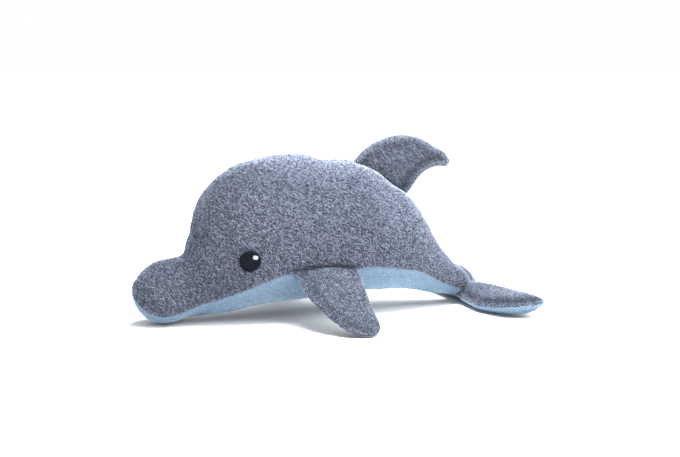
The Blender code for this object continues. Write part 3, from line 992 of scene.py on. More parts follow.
def scatter(points, normals, nap, along, across, draw):
    """Places on a piece of cloth that keep apart, further along the nap than across it."""
    a, b, c, d = points[:-1, :-1], points[:-1, 1:], points[1:, 1:], points[1:, :-1]
    areas = np.linalg.norm(np.cross(c - a, d - b), axis=2).ravel() / 2
    count = int(areas.sum() / (along * across) * SCATTER_TRIES)
    cells = draw.choice(len(areas), size=count, p=areas / areas.sum())
    i, k = np.divmod(cells, points.shape[1] - 1)
    u, v = draw.random((2, count))[..., None]

    def spread(grid):
        near = grid[i, k] * (1 - u) + grid[i, k + 1] * u
        far = grid[i + 1, k] * (1 - u) + grid[i + 1, k + 1] * u
        return near * (1 - v) + far * v

    places, facings = spread(points), spread(normals)
    facings /= np.linalg.norm(facings, axis=1, keepdims=True)
    ways = flat_ways(np.array(nap), facings)
    tree = tree_of(places)
    free = np.ones(count, bool)
    kept = []
    for number in range(count):
        if not free[number]:
            continue
        kept.append(number)
        near = np.array([found[1] for found in tree.find_range(places[number], along)])
        gap = places[near] - places[number]
        forth = gap @ ways[number]
        sideways = (gap ** 2).sum(axis=1) - forth ** 2
        free[near[(forth / along) ** 2 + sideways / across ** 2 < 1]] = False
    return places[kept], facings[kept], ways[kept]


def pile(points, normals, nap, seed, share, clear_of, calm, rim):
    """Loops of yarn all over a piece of cloth, save where other cloth lies on it."""
    settings = bpy.context.scene.dolphin_pile
    draw = np.random.default_rng(seed)
    places, facings, ways = scatter(
        points, normals, nap, settings.row_spacing * share, settings.wale_spacing * share, draw)
    keep = np.ones(len(places), bool)
    for tree, grid, least in clear_of:
        low, high = grid.min(axis=(0, 1)) - NEAR_BAG, grid.max(axis=(0, 1)) + NEAR_BAG
        near = np.nonzero(((places > low) & (places < high)).all(axis=1))[0]
        keep[near] = depths_in(tree, places[near]) < least
    places, facings, ways = places[keep], facings[keep], ways[keep]
    count = len(places)
    calm = calm * np.interp(places[:, 0], *SHORTER)
    clump = wander(places, CLUMP_LENGTH, seed + 1)
    drift = wander(places, DRIFT_LENGTH, seed + 2)
    ways = turned(ways, facings, draw.normal(0, settings.spread, count) + DRIFT_TURN * drift)

    def uneven(amount):
        return amount * draw.normal(size=count)

    sizes = np.clip(1 + uneven(SIZE_SPREAD), *SIZE_RANGE) * share
    rises = np.clip(1 + calm * (uneven(HEIGHT_SPREAD) + CLUMP_HEIGHT * clump), *HEIGHT_RANGE)
    widths = settings.loop_width * share * np.clip(1 + uneven(WIDTH_SPREAD), *WIDTH_RANGE)
    bends = uneven(settings.loop_width * share * BEND_SPREAD)
    vertices, triangles, lights = loops(
        places, ways, facings, settings.loop_length * sizes, widths,
        settings.loop_height * share * rises, bends, PILE_RINGS)
    tones = calm * (uneven(TONE_SPREAD) + CLUMP_TONE * clump)
    # These levels paint the head, the tail and the fins darker, as painted shade, and lower their contrast
    levels = np.full(count, rim["level"]) if rim else np.interp(places[:, 0], *PAINTED_HEAD_TAIL_SHADE)
    tones *= levels
    # Painted shadow in the creases round the roots of the fins
    tones -= PAINTED_CREASE_SHADOW * near_root(places, CREASE_WIDTH)
    # Painted shade in the hollow inside a fin's edge, and a painted highlight along the edge
    if rim:
        inward = nearest(rim["edges"], places)
        tones -= rim["shade"] * in_hollow(rim, inward)
        tones += rim["light"] * np.exp(-(inward / rim["reach"]) ** 2)
    tones, levels = (np.repeat(values, len(vertices) // count) for values in (tones, levels))
    # Painted shade at the loops' feet and painted highlight on their tops, over each loop's own tone
    return vertices, triangles, np.clip(tones + PAINTED_FOOT_SHADE + PAINTED_TOP_LIGHT * levels * lights, 0, 1)


# Pieces

def mirrored(parts):
    """Lots of points, triangles and shades on the animal's other side."""
    return [(points * OTHER_SIDE, triangles[:, ::-1], shades) for points, triangles, shades in parts]


def make_piece(name, parts, finish, node):
    """One piece from several lots of points, triangles and shades."""
    starts = np.cumsum([0] + [len(points) for points, _, _ in parts])
    points = np.concatenate([points for points, _, _ in parts])
    triangles = np.concatenate([faces + start for (_, faces, _), start in zip(parts, starts)])
    shades = np.concatenate([shades for _, _, shades in parts])
    mesh = bpy.data.meshes.new(name)
    mesh.from_pydata(points, [], triangles.tolist())
    shade = mesh.attributes.new("yarn_tone_and_painted_shade", "FLOAT", "POINT")
    shade.data.foreach_set("value", shades.astype(np.float32))
    mesh.shade_smooth()
    mesh.materials.append(finish_named(finish))
    piece = bpy.data.objects.new(name, mesh)
    bpy.context.scene.collection.objects.link(piece)
    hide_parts(node)
    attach(piece, BODY)


# Least height of the backing's inner face and of all cloth, and the backing's painted shade, dark as the
# shade between the loops
INNER_CLEARANCE = 0.0008
CLOTH_CLEARANCE = 0.0001
BACKING_PAINTED_SHADE = 0.22

# Depth of the backing's outer and inner face under the cloth, and the most of them in a thin fin,
# as shares of its half thickness
BACKING_SINK = 0.0012
BACKING_DEPTH = 0.0021
THIN_SINK = 0.35
THIN_DEPTH = 0.7

# Half width of the dip along a seam, and the gap on each side of it with its most, as a share of the
# distance to the next point
SEAM_WIDTH = 0.0024
SEAM_GAP = 0.00005
MOST_GAP_SHARE = 0.4

# Size of the fins' loops against the body's, and how uneven the blue pile is against the grey
FIN_SHARE = 0.92
BLUE_CALM = 0.6

# Cloth this deep in a fin or in the body has no loops
FIN_COVER = 0.0006
BODY_COVER = 0.0012

# How full of fibre the cloth is on the body, the belly, the dorsal fin, and the flippers and flukes
BODY_FILL = 0.85
BELLY_FILL = 0.8
DORSAL_FILL = 0.7
LIMB_FILL = 0.6


def backing(points, normals, sink, depth):
    """The knitted backing under the pile: a closed sheet with an outer and an inner face."""
    outer = points - normals * sink
    inner = points - normals * depth
    inner[..., 2] = np.maximum(inner[..., 2], INNER_CLEARANCE)
    rows, columns, _ = points.shape
    faces = grid_faces(rows, columns, False)
    count = rows * columns
    lots = [faces, faces[:, ::-1] + count]
    number = np.arange(count).reshape(rows, columns)
    for line in (number[0], number[:, -1], number[::-1, 0], number[-1, ::-1]):
        a, b = line[:-1], line[1:]
        lots.append(np.stack([b, a, a + count], -1))
        lots.append(np.stack([b, a + count, b + count], -1))
    both = np.concatenate([outer.reshape(-1, 3), inner.reshape(-1, 3)])
    # The backing is painted dark, as painted shade between the loops
    return tidy(both, np.concatenate(lots), BACKING_PAINTED_SHADE)


def cut_cloth(grid, columns, seam_depth):
    """Some columns of a bag, pulled in along its two seams."""
    points, normals = grid[:, columns].copy(), grid_normals(grid)[:, columns]
    steps = np.linalg.norm(np.diff(points, axis=1), axis=2)
    travelled = np.concatenate([np.zeros((len(points), 1)), np.cumsum(steps, axis=1)], axis=1)
    distance = np.minimum(travelled, travelled[:, -1:] - travelled)
    points -= normals * (seam_depth * np.exp(-(distance / SEAM_WIDTH) ** 2))[..., None]
    for edge, near in ((0, 1), (-1, -2)):
        way = points[:, near] - points[:, edge]
        length = np.linalg.norm(way, axis=1, keepdims=True)
        points[:, edge] += way * np.minimum(SEAM_GAP / np.maximum(length, SHORT), MOST_GAP_SHARE)
    return points, normals


def cloth_piece(name, node, grid, first, last, finish, nap, seed, clear_of, bag=None, mirror=False):
    """A piece of pile cloth cut from a stuffed bag, which stands for its solid."""
    scene = bpy.context.scene
    columns = np.arange(first, last + 1) % grid.shape[1]
    points, normals = cut_cloth(grid, columns, scene.dolphin_stuffing.seam_depth)
    sink, depth = (np.full((*points.shape[:2], 1), value) for value in (BACKING_SINK, BACKING_DEPTH))
    rim, share, calm = None, 1.0, 1.0
    if bag:
        room = np.linalg.norm(grid - opposite(grid), axis=2, keepdims=True)[:, columns] / 2
        sink, depth = np.minimum(sink, THIN_SINK * room), np.minimum(depth, THIN_DEPTH * room)
        rim, share = {**RIMS[bag], "edges": bags[bag + "_edges"]}, FIN_SHARE
    if finish == "blue_pile":
        share, calm = scene.dolphin_pile.blue_share, BLUE_CALM
    parts = [
        backing(points, normals, sink, depth),
        pile(points - normals * sink, normals, nap, seed, share, clear_of, calm, rim),
    ]
    if mirror:
        parts = mirrored(parts)
    for corners, _, _ in parts:
        corners[:, 2] = np.maximum(corners[:, 2], CLOTH_CLEARANCE)
    make_piece(name, parts, finish, node)


def cover_fin(bag, faces, mirror=False):
    """Pile cloth on the two faces of a stuffed fin. Each face has its name, node, finish, nap and seed."""
    grid = fin_bag(bag)
    half = grid.shape[1] // 2
    clear_of = [(bags["body_tree"], body_bag(), BODY_COVER)]
    for first, (name, node, finish, nap, seed) in zip((0, half), faces):
        cloth_piece(name, node, grid, first, first + half, finish, nap, seed, clear_of, bag, mirror)


# Materials

def add_node(tree, kind, settings, links=()):
    """Add a node with its settings, and link outputs of other nodes to its sockets."""
    node = tree.nodes.new(kind)
    for key, value in settings.items():
        if isinstance(key, str) and hasattr(node, key):
            setattr(node, key, value)
        else:
            node.inputs[key].default_value = value
    for key, output in dict(links).items():
        tree.links.new(output, node.inputs[key])
    return node


def new_material(name):
    """An empty material with its node tree and the place of each point on the toy."""
    material = bpy.data.materials.new(name)
    material.use_nodes = True
    tree = material.node_tree
    tree.nodes.clear()
    return material, tree, add_node(tree, "ShaderNodeTexCoord", {}).outputs["Object"]


def close_material(tree, colour, relief, rise, settings):
    """End a material with its colour, its relief, the relief's strength and rise, and its shine."""
    strength, distance = rise
    bump = add_node(
        tree, "ShaderNodeBump", {"Strength": strength, "Distance": distance}, {"Height": relief})
    shader = add_node(
        tree, "ShaderNodeBsdfPrincipled", settings, {"Base Color": colour, "Normal": bump.outputs[0]})
    add_node(tree, "ShaderNodeOutputMaterial", {}, {"Surface": shader.outputs[0]})


def shaded(colour, share, warmth=0.0):
    """A colour made darker or lighter, and warmer or cooler."""
    red, green, blue = colour
    tinted = red * (1 + warmth), green, blue * (1 - warmth)
    return (*(min(1.0, channel * share) for channel in tinted), 1.0)


def set_ramp(node, stops):
    """Give a colour ramp its stops. Returns the colour that comes out."""
    ramp = node.color_ramp
    while len(ramp.elements) < len(stops):
        ramp.elements.new(0.5)
    for element, (place, colour) in zip(ramp.elements, stops):
        element.position = place
        element.color = colour
    return node.outputs[0]


# Typical refraction of polyester and rayon fibre
FIBRE_IOR = 1.53
WHITE = (1.0, 1.0, 1.0)
FILLING_WHITE = linear("#f2f1ec")

# The furrows of the pile run down the nap, this far from the toy's length
NAP_TURN = math.radians(40)

# Length, width and depth of a painted furrow shade, its middle level, and the share of it left at the tail
FURROW_SIZE = (0.0050, 0.0017, 0.0017)
FURROW_LEVEL = 0.68
FURROW_AT_TAIL = 0.45

# How much the fibres lighten and darken the yarn
SPECKLE = 0.50

# How far the yarn's dark end, mostly painted shade, leans to blue and its light end, mostly painted
# highlight, to red
DARK_LEAN = -0.10
LIGHT_LEAN = 0.07


def pile_cloth(name, colour, gap, tip, patch, furrow):
    """Short looped polyester pile in heather yarn.

    The loops are painted light on top and dark at their feet, as painted highlight and painted shade.
    Each also takes a tone of its own, as yarn spun from fibres of several shades does. Fine fibres
    scatter the light, so the cloth is matte, with a soft sheen at grazing angles.
    """
    material, tree, places = new_material(name)
    shade = add_node(tree, "ShaderNodeAttribute", {"attribute_name": "yarn_tone_and_painted_shade"})
    # Uneven dyeing over about 30 mm
    cloud = add_node(tree, "ShaderNodeTexNoise", {"Scale": 33.0, "Detail": 2.0}, {"Vector": places})
    # Fibres of the yarn, 0.9 mm apart, drawn coarser than real ones so that they show
    fibre = add_node(tree, "ShaderNodeTexNoise", {"Scale": 1100.0, "Detail": 2.0}, {"Vector": places})
    # Painted shade in thin furrows between the tufts, with painted light beside them, about 2 mm apart and
    # 5 mm long, that run down the nap
    way = add_node(
        tree, "ShaderNodeMapping",
        {"vector_type": "TEXTURE", "Rotation": (0.0, NAP_TURN, 0.0), "Scale": FURROW_SIZE},
        {"Vector": places})
    rows = add_node(tree, "ShaderNodeTexNoise", {"Scale": 1.0, "Detail": 1.5}, {"Vector": way.outputs[0]})
    parting = set_ramp(
        add_node(tree, "ShaderNodeValToRGB", {}, {0: rows.outputs["Fac"]}),
        [(0.40, shaded(WHITE, 0.8)), (0.50, shaded(WHITE, 0.0)), (0.60, shaded(WHITE, 1.0))])
    # The painted furrow shade fades towards the tail, where the pile is shorter
    axes = add_node(tree, "ShaderNodeSeparateXYZ", {}, {0: places})
    start, end = SHORTER[0]
    fade = add_node(
        tree, "ShaderNodeMapRange",
        {"From Min": start, "From Max": end, "To Min": furrow, "To Max": furrow * FURROW_AT_TAIL},
        {"Value": axes.outputs["X"]})
    lighter = add_node(
        tree, "ShaderNodeMath", {"operation": "MULTIPLY_ADD", 1: patch, 2: -patch / 2},
        {0: cloud.outputs["Fac"]})
    speckle = add_node(
        tree, "ShaderNodeMath", {"operation": "MULTIPLY_ADD", 1: SPECKLE, 2: -SPECKLE / 2},
        {0: fibre.outputs["Fac"]})
    level = add_node(tree, "ShaderNodeMath", {"operation": "SUBTRACT", 1: FURROW_LEVEL}, {0: parting})
    furrows = add_node(
        tree, "ShaderNodeMath", {"operation": "MULTIPLY"}, {0: level.outputs[0], 1: fade.outputs[0]})
    # The dyeing, the fibres and the painted furrow shade lighten or darken each loop's own tone and painted
    # shade
    total = furrows.outputs[0]
    for part in (speckle.outputs[0], lighter.outputs[0], shade.outputs["Fac"]):
        total = add_node(tree, "ShaderNodeMath", {"operation": "ADD"}, {0: part, 1: total}).outputs[0]
    # The ramp runs from painted shade between the loops (gap) to painted highlight on their tops (tip)
    yarn = set_ramp(add_node(tree, "ShaderNodeValToRGB", {}, {0: total}), [
        (0.20, shaded(colour, gap, DARK_LEAN)),
        (0.50, shaded(colour, 1.0)),
        (0.95, shaded(colour, tip, LIGHT_LEAN)),
    ])
    close_material(tree, yarn, fibre.outputs["Fac"], (0.35, 0.0003), {
        "Roughness": 0.92, "IOR": FIBRE_IOR, "Specular IOR Level": 0.25,
        "Sheen Weight": 0.16, "Sheen Roughness": 0.45,
    })
    return material


def embroidery_thread(name, colour, low, high, roughness):
    """Rayon embroidery thread in fill stitches.

    Each stitch is a little lighter or darker than the next, with a faint silky gloss.
    """
    material, tree, places = new_material(name)
    shade = add_node(tree, "ShaderNodeAttribute", {"attribute_name": "yarn_tone_and_painted_shade"})
    # Plies of the thread, 0.3 mm
    plies = add_node(tree, "ShaderNodeTexNoise", {"Scale": 3000.0, "Detail": 1.0}, {"Vector": places})
    thread = set_ramp(
        add_node(tree, "ShaderNodeValToRGB", {}, {0: shade.outputs["Fac"]}),
        [(0.0, shaded(colour, low)), (1.0, shaded(colour, high))])
    close_material(
        tree, thread, plies.outputs["Fac"], (0.25, 0.0001),
        {"Roughness": roughness, "IOR": FIBRE_IOR, "Specular IOR Level": 0.12})
    return material


def fibre_filling(name, colour):
    """Loose white hollow polyester fibre: soft wisps about 6 mm long, matte, a little uneven in shade."""
    material, tree, places = new_material(name)
    wisps = add_node(
        tree, "ShaderNodeTexNoise", {"Scale": 170.0, "Detail": 6.0, "Distortion": 2.5}, {"Vector": places})
    fluff = set_ramp(
        add_node(tree, "ShaderNodeValToRGB", {}, {0: wisps.outputs["Fac"]}),
        [(0.25, shaded(colour, 0.72)), (0.7, shaded(colour, 1.0))])
    close_material(
        tree, fluff, wisps.outputs["Fac"], (0.8, 0.002),
        {"Roughness": 1.0, "IOR": FIBRE_IOR, "Sheen Weight": 0.4, "Sheen Roughness": 0.6})
    return material


def painted_floor(name, colour):
    """Matte white emulsion paint on a smooth studio floor, with a faint roller stipple of about 3 mm."""
    material, tree, places = new_material(name)
    stipple = add_node(tree, "ShaderNodeTexNoise", {"Scale": 330.0, "Detail": 2.0}, {"Vector": places})
    paint = set_ramp(
        add_node(tree, "ShaderNodeValToRGB", {}, {0: stipple.outputs["Fac"]}),
        [(0.3, shaded(colour, 0.985)), (0.7, shaded(colour, 1.0))])
    close_material(tree, paint, stipple.outputs["Fac"], (0.03, 0.0002), {"Roughness": 0.85, "IOR": 1.5})
    return material


made = {}


def finish_named(name):
    """The finish of that name, made on first use."""
    colours = bpy.context.scene.dolphin_colours
    if name not in made:
        if name == "grey_pile":
            made[name] = pile_cloth(
                "heather_grey_loop_pile", colours.grey, gap=0.17, tip=1.78, patch=0.08, furrow=0.50)
        elif name == "blue_pile":
            made[name] = pile_cloth(
                "pale_blue_loop_pile", colours.blue, gap=0.68, tip=1.22, patch=0.06, furrow=0.08)
        elif name == "eye_thread":
            made[name] = embroidery_thread(
                "navy_rayon_embroidery", colours.eye, low=0.6, high=1.4, roughness=0.55)
        elif name == "glint_thread":
            made[name] = embroidery_thread(
                "pale_rayon_embroidery", colours.glint, low=0.85, high=1.05, roughness=0.5)
        else:
            made[name] = fibre_filling("polyester_fibre_filling", FILLING_WHITE)
    return made[name]


# Operators

# Way in which the pile of each piece lies
GREY_NAP = (0.77, 0.0, -0.64)
BELLY_NAP = (1.0, 0.3, 0.0)
DORSAL_NAP = (0.6, 0.0, -0.8)
FLIPPER_NAP = (0.35, -0.9, -0.3)
FLUKE_TOP_NAP = (0.5, -0.8, -0.1)
FLUKE_UNDER_NAP = (0.2, 1.0, 0.0)


class DOLPHIN_OT_sew_body(bpy.types.Operator):
    """Stuff the body and cover it in two grey side panels and a blue belly panel"""
    bl_idname = "plush_dolphin.sew_body"
    bl_label = "Sew body"

    def execute(self, context):
        grid = bags["body"] = pressed(body_bag())
        bags["body_tree"] = surface_tree(grid)
        seam = 2 * SIDE_COLUMNS
        count = grid.shape[1]
        fins = [fin_bag("dorsal"), fin_bag("flipper"), fin_bag("flipper") * OTHER_SIDE, fin_bag("flukes")]
        clear_of = [(surface_tree(fin), fin, FIN_COVER) for fin in fins]
        for name, node, first, last, finish, nap, seed, fill in (
            ("side_left_pile", "side_panel_left", 0, seam,
             "grey_pile", GREY_NAP, 101, BODY_FILL),
            ("side_right_pile", "side_panel_right", count - seam, count,
             "grey_pile", GREY_NAP, 202, BODY_FILL),
            ("belly_pile", "belly_panel", seam, count - seam,
             "blue_pile", BELLY_NAP, 303, BELLY_FILL),
        ):
            cloth_piece(name, node, grid, first, last, finish, nap, seed, clear_of)
        return {"FINISHED"}


class DOLPHIN_OT_sew_dorsal_fin(bpy.types.Operator):
    """Stuff the dorsal fin and cover both of its faces"""
    bl_idname = "plush_dolphin.sew_dorsal_fin"
    bl_label = "Sew dorsal fin"

    def execute(self, context):
        cover_fin("dorsal", [
            ("dorsal_left_pile", "dorsal_fin_left", "grey_pile", DORSAL_NAP, 404),
            ("dorsal_right_pile", "dorsal_fin_right", "grey_pile", DORSAL_NAP, 505),
        ])
        return {"FINISHED"}


class DOLPHIN_OT_sew_flippers(bpy.types.Operator):
    """Stuff both flippers and cover their upper and lower faces"""
    bl_idname = "plush_dolphin.sew_flippers"
    bl_label = "Sew flippers"

    def execute(self, context):
        for mirror, word, seed in ((False, "left", 606), (True, "right", 707)):
            cover_fin("flipper", [
                (f"flipper_{word}_top_pile", f"flipper_{word}_upper", "grey_pile", FLIPPER_NAP, seed),
                (f"flipper_{word}_under_pile", f"flipper_{word}_lower", "grey_pile", FLIPPER_NAP, seed + 1),
            ], mirror)
        return {"FINISHED"}


class DOLPHIN_OT_sew_flukes(bpy.types.Operator):
    """Stuff the flukes and cover them in grey above and blue below"""
    bl_idname = "plush_dolphin.sew_flukes"
    bl_label = "Sew flukes"

    def execute(self, context):
        cover_fin("flukes", [
            ("flukes_top_pile", "fluke_upper", "grey_pile", FLUKE_TOP_NAP, 808),
            ("flukes_under_pile", "fluke_lower", "blue_pile", FLUKE_UNDER_NAP, 909),
        ])
        return {"FINISHED"}


# Embroidery of the eye and of its highlight: the patch's thickness, dome and level over the flank, the
# stitches' length, turn, level and height with the seed of their unevenness, and the share of the
# outline that they fill
EYE_WORK = {
    "patch": (0.0015, 0.0004, -0.0005),
    "stitch": (0.0055, math.radians(-25), 0.0012, 0.0003, 21),
}
EYE_FILLED = 0.985
GLINT_WORK = {
    "patch": (0.0003, 0.0001, 0.0017),
    "stitch": (0.02, GLINT_TURN, 0.0020, 0.0002, 22),
}
GLINT_FILLED_UP = 0.94
GLINT_FILLED_ACROSS = 0.92

# Steps of a patch's dome from its edge: how far in, as a share of its half width, and its share of the rise
DOME_STEPS = ((0.06, 0.45), (0.22, 0.40), (0.30, 0.15))

# Points round the eye
EYE_POINTS = 64

# A thread's width and how far a stitch passes its place, against the thread spacing, and how much the
# threads bow
THREAD_WIDTH = 1.25
STITCH_OVERLAP = 0.4
THREAD_BOW = 0.05

# Middle tone of the threads, its spread, the painted shade at a thread's sides and ends, and the tone of
# the patch under them
THREAD_TONE = 0.5
THREAD_SPREAD = 0.2
PAINTED_THREAD_SHADE = 0.5
PATCH_TONE = 0.15

# A sight line towards the flank starts this far to the left
SIGHT_START = -0.2


def flank_spot(along, up):
    """The left flank's surface and normal at a place beside the middle of the eye."""
    x = NOSE_X + EYE_ALONG_SHARE * BODY_LENGTH + along
    z = EYE_HEIGHT_SHARE * BODY_HEIGHT + up
    place, normal, _, _ = bags["body_tree"].ray_cast(Vector((x, SIGHT_START, z)), Vector((0, 1, 0)))
    if place is None:
        raise RuntimeError("the eye lies off the flank")
    normal = np.array(normal)
    return np.array(place), normal * math.copysign(1, -normal[1])


def domed_patch(name, outline, thickness, dome):
    """A flat patch with a dome: width along X, height along Y, thickness along Z."""
    bpy.ops.object.select_all(action="DESELECT")
    bpy.ops.mesh.primitive_circle_add(
        vertices=len(outline), radius=1.0, fill_type="NGON", location=(0, 0, 0))
    patch = bpy.context.active_object
    patch.name = name
    for vertex, (x, y) in zip(patch.data.vertices, outline):
        vertex.co = (x, y, 0.0)
    reach = max(abs(x) for x, _ in outline)
    bpy.ops.object.mode_set(mode="EDIT")
    bpy.ops.mesh.select_mode(type="FACE")
    bpy.ops.mesh.select_all(action="SELECT")
    bpy.ops.mesh.extrude_region_move(TRANSFORM_OT_translate={"value": (0, 0, thickness)})
    for share, rise in DOME_STEPS:
        bpy.ops.mesh.inset(thickness=reach * share, depth=0.0)
        bpy.ops.transform.translate(value=(0, 0, dome * rise))
    bpy.ops.mesh.select_all(action="SELECT")
    bpy.ops.mesh.normals_make_consistent(inside=False)
    bpy.ops.object.mode_set(mode="OBJECT")
    return patch


def lay_on_flank(patch, along, up, level):
    """Bend a flat patch on to the flank around a place beside the middle of the eye."""
    _, facing = flank_spot(along, up)
    for vertex in patch.data.vertices:
        x, y, z = vertex.co
        place, _ = flank_spot(along + x, up + y)
        vertex.co = place + facing * (level + z)


def fill_stitches(half_width, tall, pitch, along, up, length, turn, level, height, seed):
    """Rows of stitches that fill an outline. half_width gives half the length of a row."""
    draw = np.random.default_rng(seed)
    places, ways, facings, lengths = [], [], [], []
    rows = int(2 * tall / pitch)
    for row in range(rows):
        v = (row + 0.5) * pitch - rows * pitch / 2
        half = half_width(v)
        cut = -half - (row % 3) * length / 3
        while cut < half:
            start, end = max(cut, -half), min(cut + length, half)
            cut += length
            if end - start < pitch:
                continue
            spots = []
            for u in (start, (start + end) / 2, end):
                x = u * math.cos(turn) + v * math.sin(turn)
                y = v * math.cos(turn) - u * math.sin(turn)
                spots.append(flank_spot(along + x, up + y))
            places.append(spots[1][0])
            facings.append(spots[1][1])
            ways.append(spots[2][0] - spots[0][0])
            lengths.append(end - start + STITCH_OVERLAP * pitch)
    places, ways = np.array(places), np.array(ways)
    facing = np.array(facings).mean(axis=0)
    facing /= np.linalg.norm(facing)
    count = len(places)
    facings = np.tile(facing, (count, 1))
    points, triangles, lights = loops(
        places + facings * level, flat_ways(ways, facings), facings, np.array(lengths),
        np.full(count, pitch * THREAD_WIDTH), np.full(count, height),
        THREAD_BOW * pitch * draw.normal(size=count), STITCH_RINGS)
    tones = np.clip(THREAD_TONE + THREAD_SPREAD * draw.normal(size=count), 0, 1)
    # Each stitch is painted light on top and dark at its sides and ends, as painted highlight and painted
    # shade
    shades = np.repeat(tones, len(points) // count) * (PAINTED_THREAD_SHADE + (1 - PAINTED_THREAD_SHADE) * lights)
    return points, triangles, shades


def embroidered(name, outline, half_width, tall, along, up, work):
    """A patch with its fill stitches on the left flank, beside the middle of the eye."""
    thickness, dome, level = work["patch"]
    patch = domed_patch(name, outline, thickness, dome)
    lay_on_flank(patch, along, up, level)
    pitch = bpy.context.scene.dolphin_eyes.stitch_pitch
    stitches = fill_stitches(half_width, tall, pitch, along, up, *work["stitch"])
    patch.data.calc_loop_triangles()
    corners = np.array([vertex.co[:] for vertex in patch.data.vertices])
    triangles = np.array([triangle.vertices[:] for triangle in patch.data.loop_triangles])
    bpy.data.objects.remove(patch)
    return [(corners, outwards(corners, triangles), np.full(len(corners), PATCH_TONE)), stitches]


class DOLPHIN_OT_stitch_eyes(bpy.types.Operator):
    """Embroider a round navy eye with a small pale highlight on each flank"""
    bl_idname = "plush_dolphin.stitch_eyes"
    bl_label = "Stitch eyes"

    def execute(self, context):
        body_bag()
        eye = context.scene.dolphin_eyes
        radius = eye.diameter / 2
        filled = radius * EYE_FILLED
        turns = np.linspace(0, 2 * math.pi, EYE_POINTS, endpoint=False)
        circle = [(radius * math.sin(a), radius * math.cos(a)) for a in turns]
        square = []
        for a in turns[::2]:
            across = eye.glint_width / 2 * math.copysign(abs(math.sin(a)) ** 0.5, math.sin(a))
            tall = eye.glint_height / 2 * math.copysign(abs(math.cos(a)) ** 0.5, math.cos(a))
            square.append((
                across * math.cos(GLINT_TURN) + tall * math.sin(GLINT_TURN),
                tall * math.cos(GLINT_TURN) - across * math.sin(GLINT_TURN),
            ))

        def round_row(v):
            return math.sqrt(max(0.0, filled ** 2 - v * v))

        def even_row(_):
            return eye.glint_width / 2 * GLINT_FILLED_ACROSS

        navy = embroidered("eye_patch", circle, round_row, filled, 0.0, 0.0, EYE_WORK)
        pale = embroidered(
            "glint_patch", square, even_row, eye.glint_height / 2 * GLINT_FILLED_UP,
            GLINT_BACK, GLINT_UP, GLINT_WORK)
        for word, side in (("left", list), ("right", mirrored)):
            eye_node = f"eye_{word}"
            make_piece(f"{eye_node}_stitches", side(navy), "eye_thread", eye_node)
            make_piece(
                f"glint_{word}_stitches", side(pale), "glint_thread",
                f"{eye_node}_glint")
        return {"FINISHED"}


# The fibre lies this far inside the cloth. In a thin fin it takes this share of the thickness.
FILLING_DEPTH = 0.0040
THIN_FILLING = 0.4
LEAST_FILLING = 0.25

# Unevenness of the fibre's surface
TUFT_HEIGHT = 0.0003
TUFT_LENGTH = 0.012
FIBRE_SHADE = 0.5


def filling_of(grid, thin):
    """The mass of fibre inside a bag: the bag's rings drawn in towards the line through their middles."""
    if thin:
        middle_sheet = (grid + opposite(grid)) / 2
        grid = middle_sheet + (grid - middle_sheet) * THIN_FILLING
    middles = grid.mean(axis=1, keepdims=True)
    centre = middles.mean(axis=0)
    reach = np.linalg.norm(middles - centre, axis=2).max()
    middles_in = centre + (middles - centre) * (1 - FILLING_DEPTH / reach)
    out = grid - middles
    length = np.linalg.norm(out, axis=2, keepdims=True)
    grid = middles_in + out * np.maximum(1 - FILLING_DEPTH / np.maximum(length, SHORT), LEAST_FILLING)
    grid = grid + grid_normals(grid) * (TUFT_HEIGHT * wander(grid, TUFT_LENGTH, 31))[..., None]
    return closed_points(grid), closed_faces(grid)


class DOLPHIN_OT_stuff_bags(bpy.types.Operator):
    """Put a mass of loose fibre into the body, the dorsal fin, the flippers and the flukes"""
    bl_idname = "plush_dolphin.stuff_bags"
    bl_label = "Stuff bags"

    def execute(self, context):
        for name, bag, node, side, fill in (
            ("body_fibre", "body", "body_stuffing", 1, BODY_FILL),
            ("dorsal_fibre", "dorsal", "dorsal_fin_stuffing", 1, DORSAL_FILL),
            ("flipper_left_fibre", "flipper", "flipper_left_stuffing", 1, LIMB_FILL),
            ("flipper_right_fibre", "flipper", "flipper_right_stuffing", -1, LIMB_FILL),
            ("flukes_fibre", "flukes", "fluke_stuffing", 1, LIMB_FILL),
        ):
            grid = body_bag() if bag == "body" else fin_bag(bag)
            points, triangles = filling_of(grid, bag != "body")
            mass = tidy(points * (1, side, 1), triangles[:, ::side], FIBRE_SHADE)
            make_piece(name, [mass], "filling", node)
        return {"FINISHED"}


CAMERA_PLACE = (-0.3958, -1.1276, 0.25)
CAMERA_TARGET = (0.0146, 0.0, 0.079)
CAMERA_LENS = 67.55
CAMERA_SENSOR = 36.0
NEAR_LIMIT = 0.01
FAR_LIMIT = 50.0

FLOOR_SIZE = 24.0

# White paper round the stage, which shines less on the toy than it shows
SURROUND_GLOW = 0.80
SURROUND_SHOWN = 1.0

# Wide soft lamps: name, way towards them, strength, spread in degrees and colour
WIDE_LAMPS = (
    ("window_light", (0.60, -0.20, 0.77), 5.6, 80, "#fdfeff"),
    ("front_softbox", (0.60, -0.79, 0.12), 0.65, 90, "#fdfeff"),
)
WIDE_LAMP_DISTANCE = 2

# A round softbox over the back
SOFTBOX_SIZE = 0.5
SOFTBOX_POWER = 15.5
SOFTBOX_COLOUR = "#fbfdff"
SOFTBOX_PLACE = (0.08, -0.06, 0.68)


def add_lamp(name, kind, colour, place, settings):
    """Hang a lamp in the studio. Returns its object."""
    light = bpy.data.lights.new(name, kind)
    light.color = linear(colour)
    for key, value in settings.items():
        setattr(light, key, value)
    lamp = bpy.data.objects.new(name, light)
    lamp.location = place
    bpy.context.scene.collection.objects.link(lamp)
    return lamp


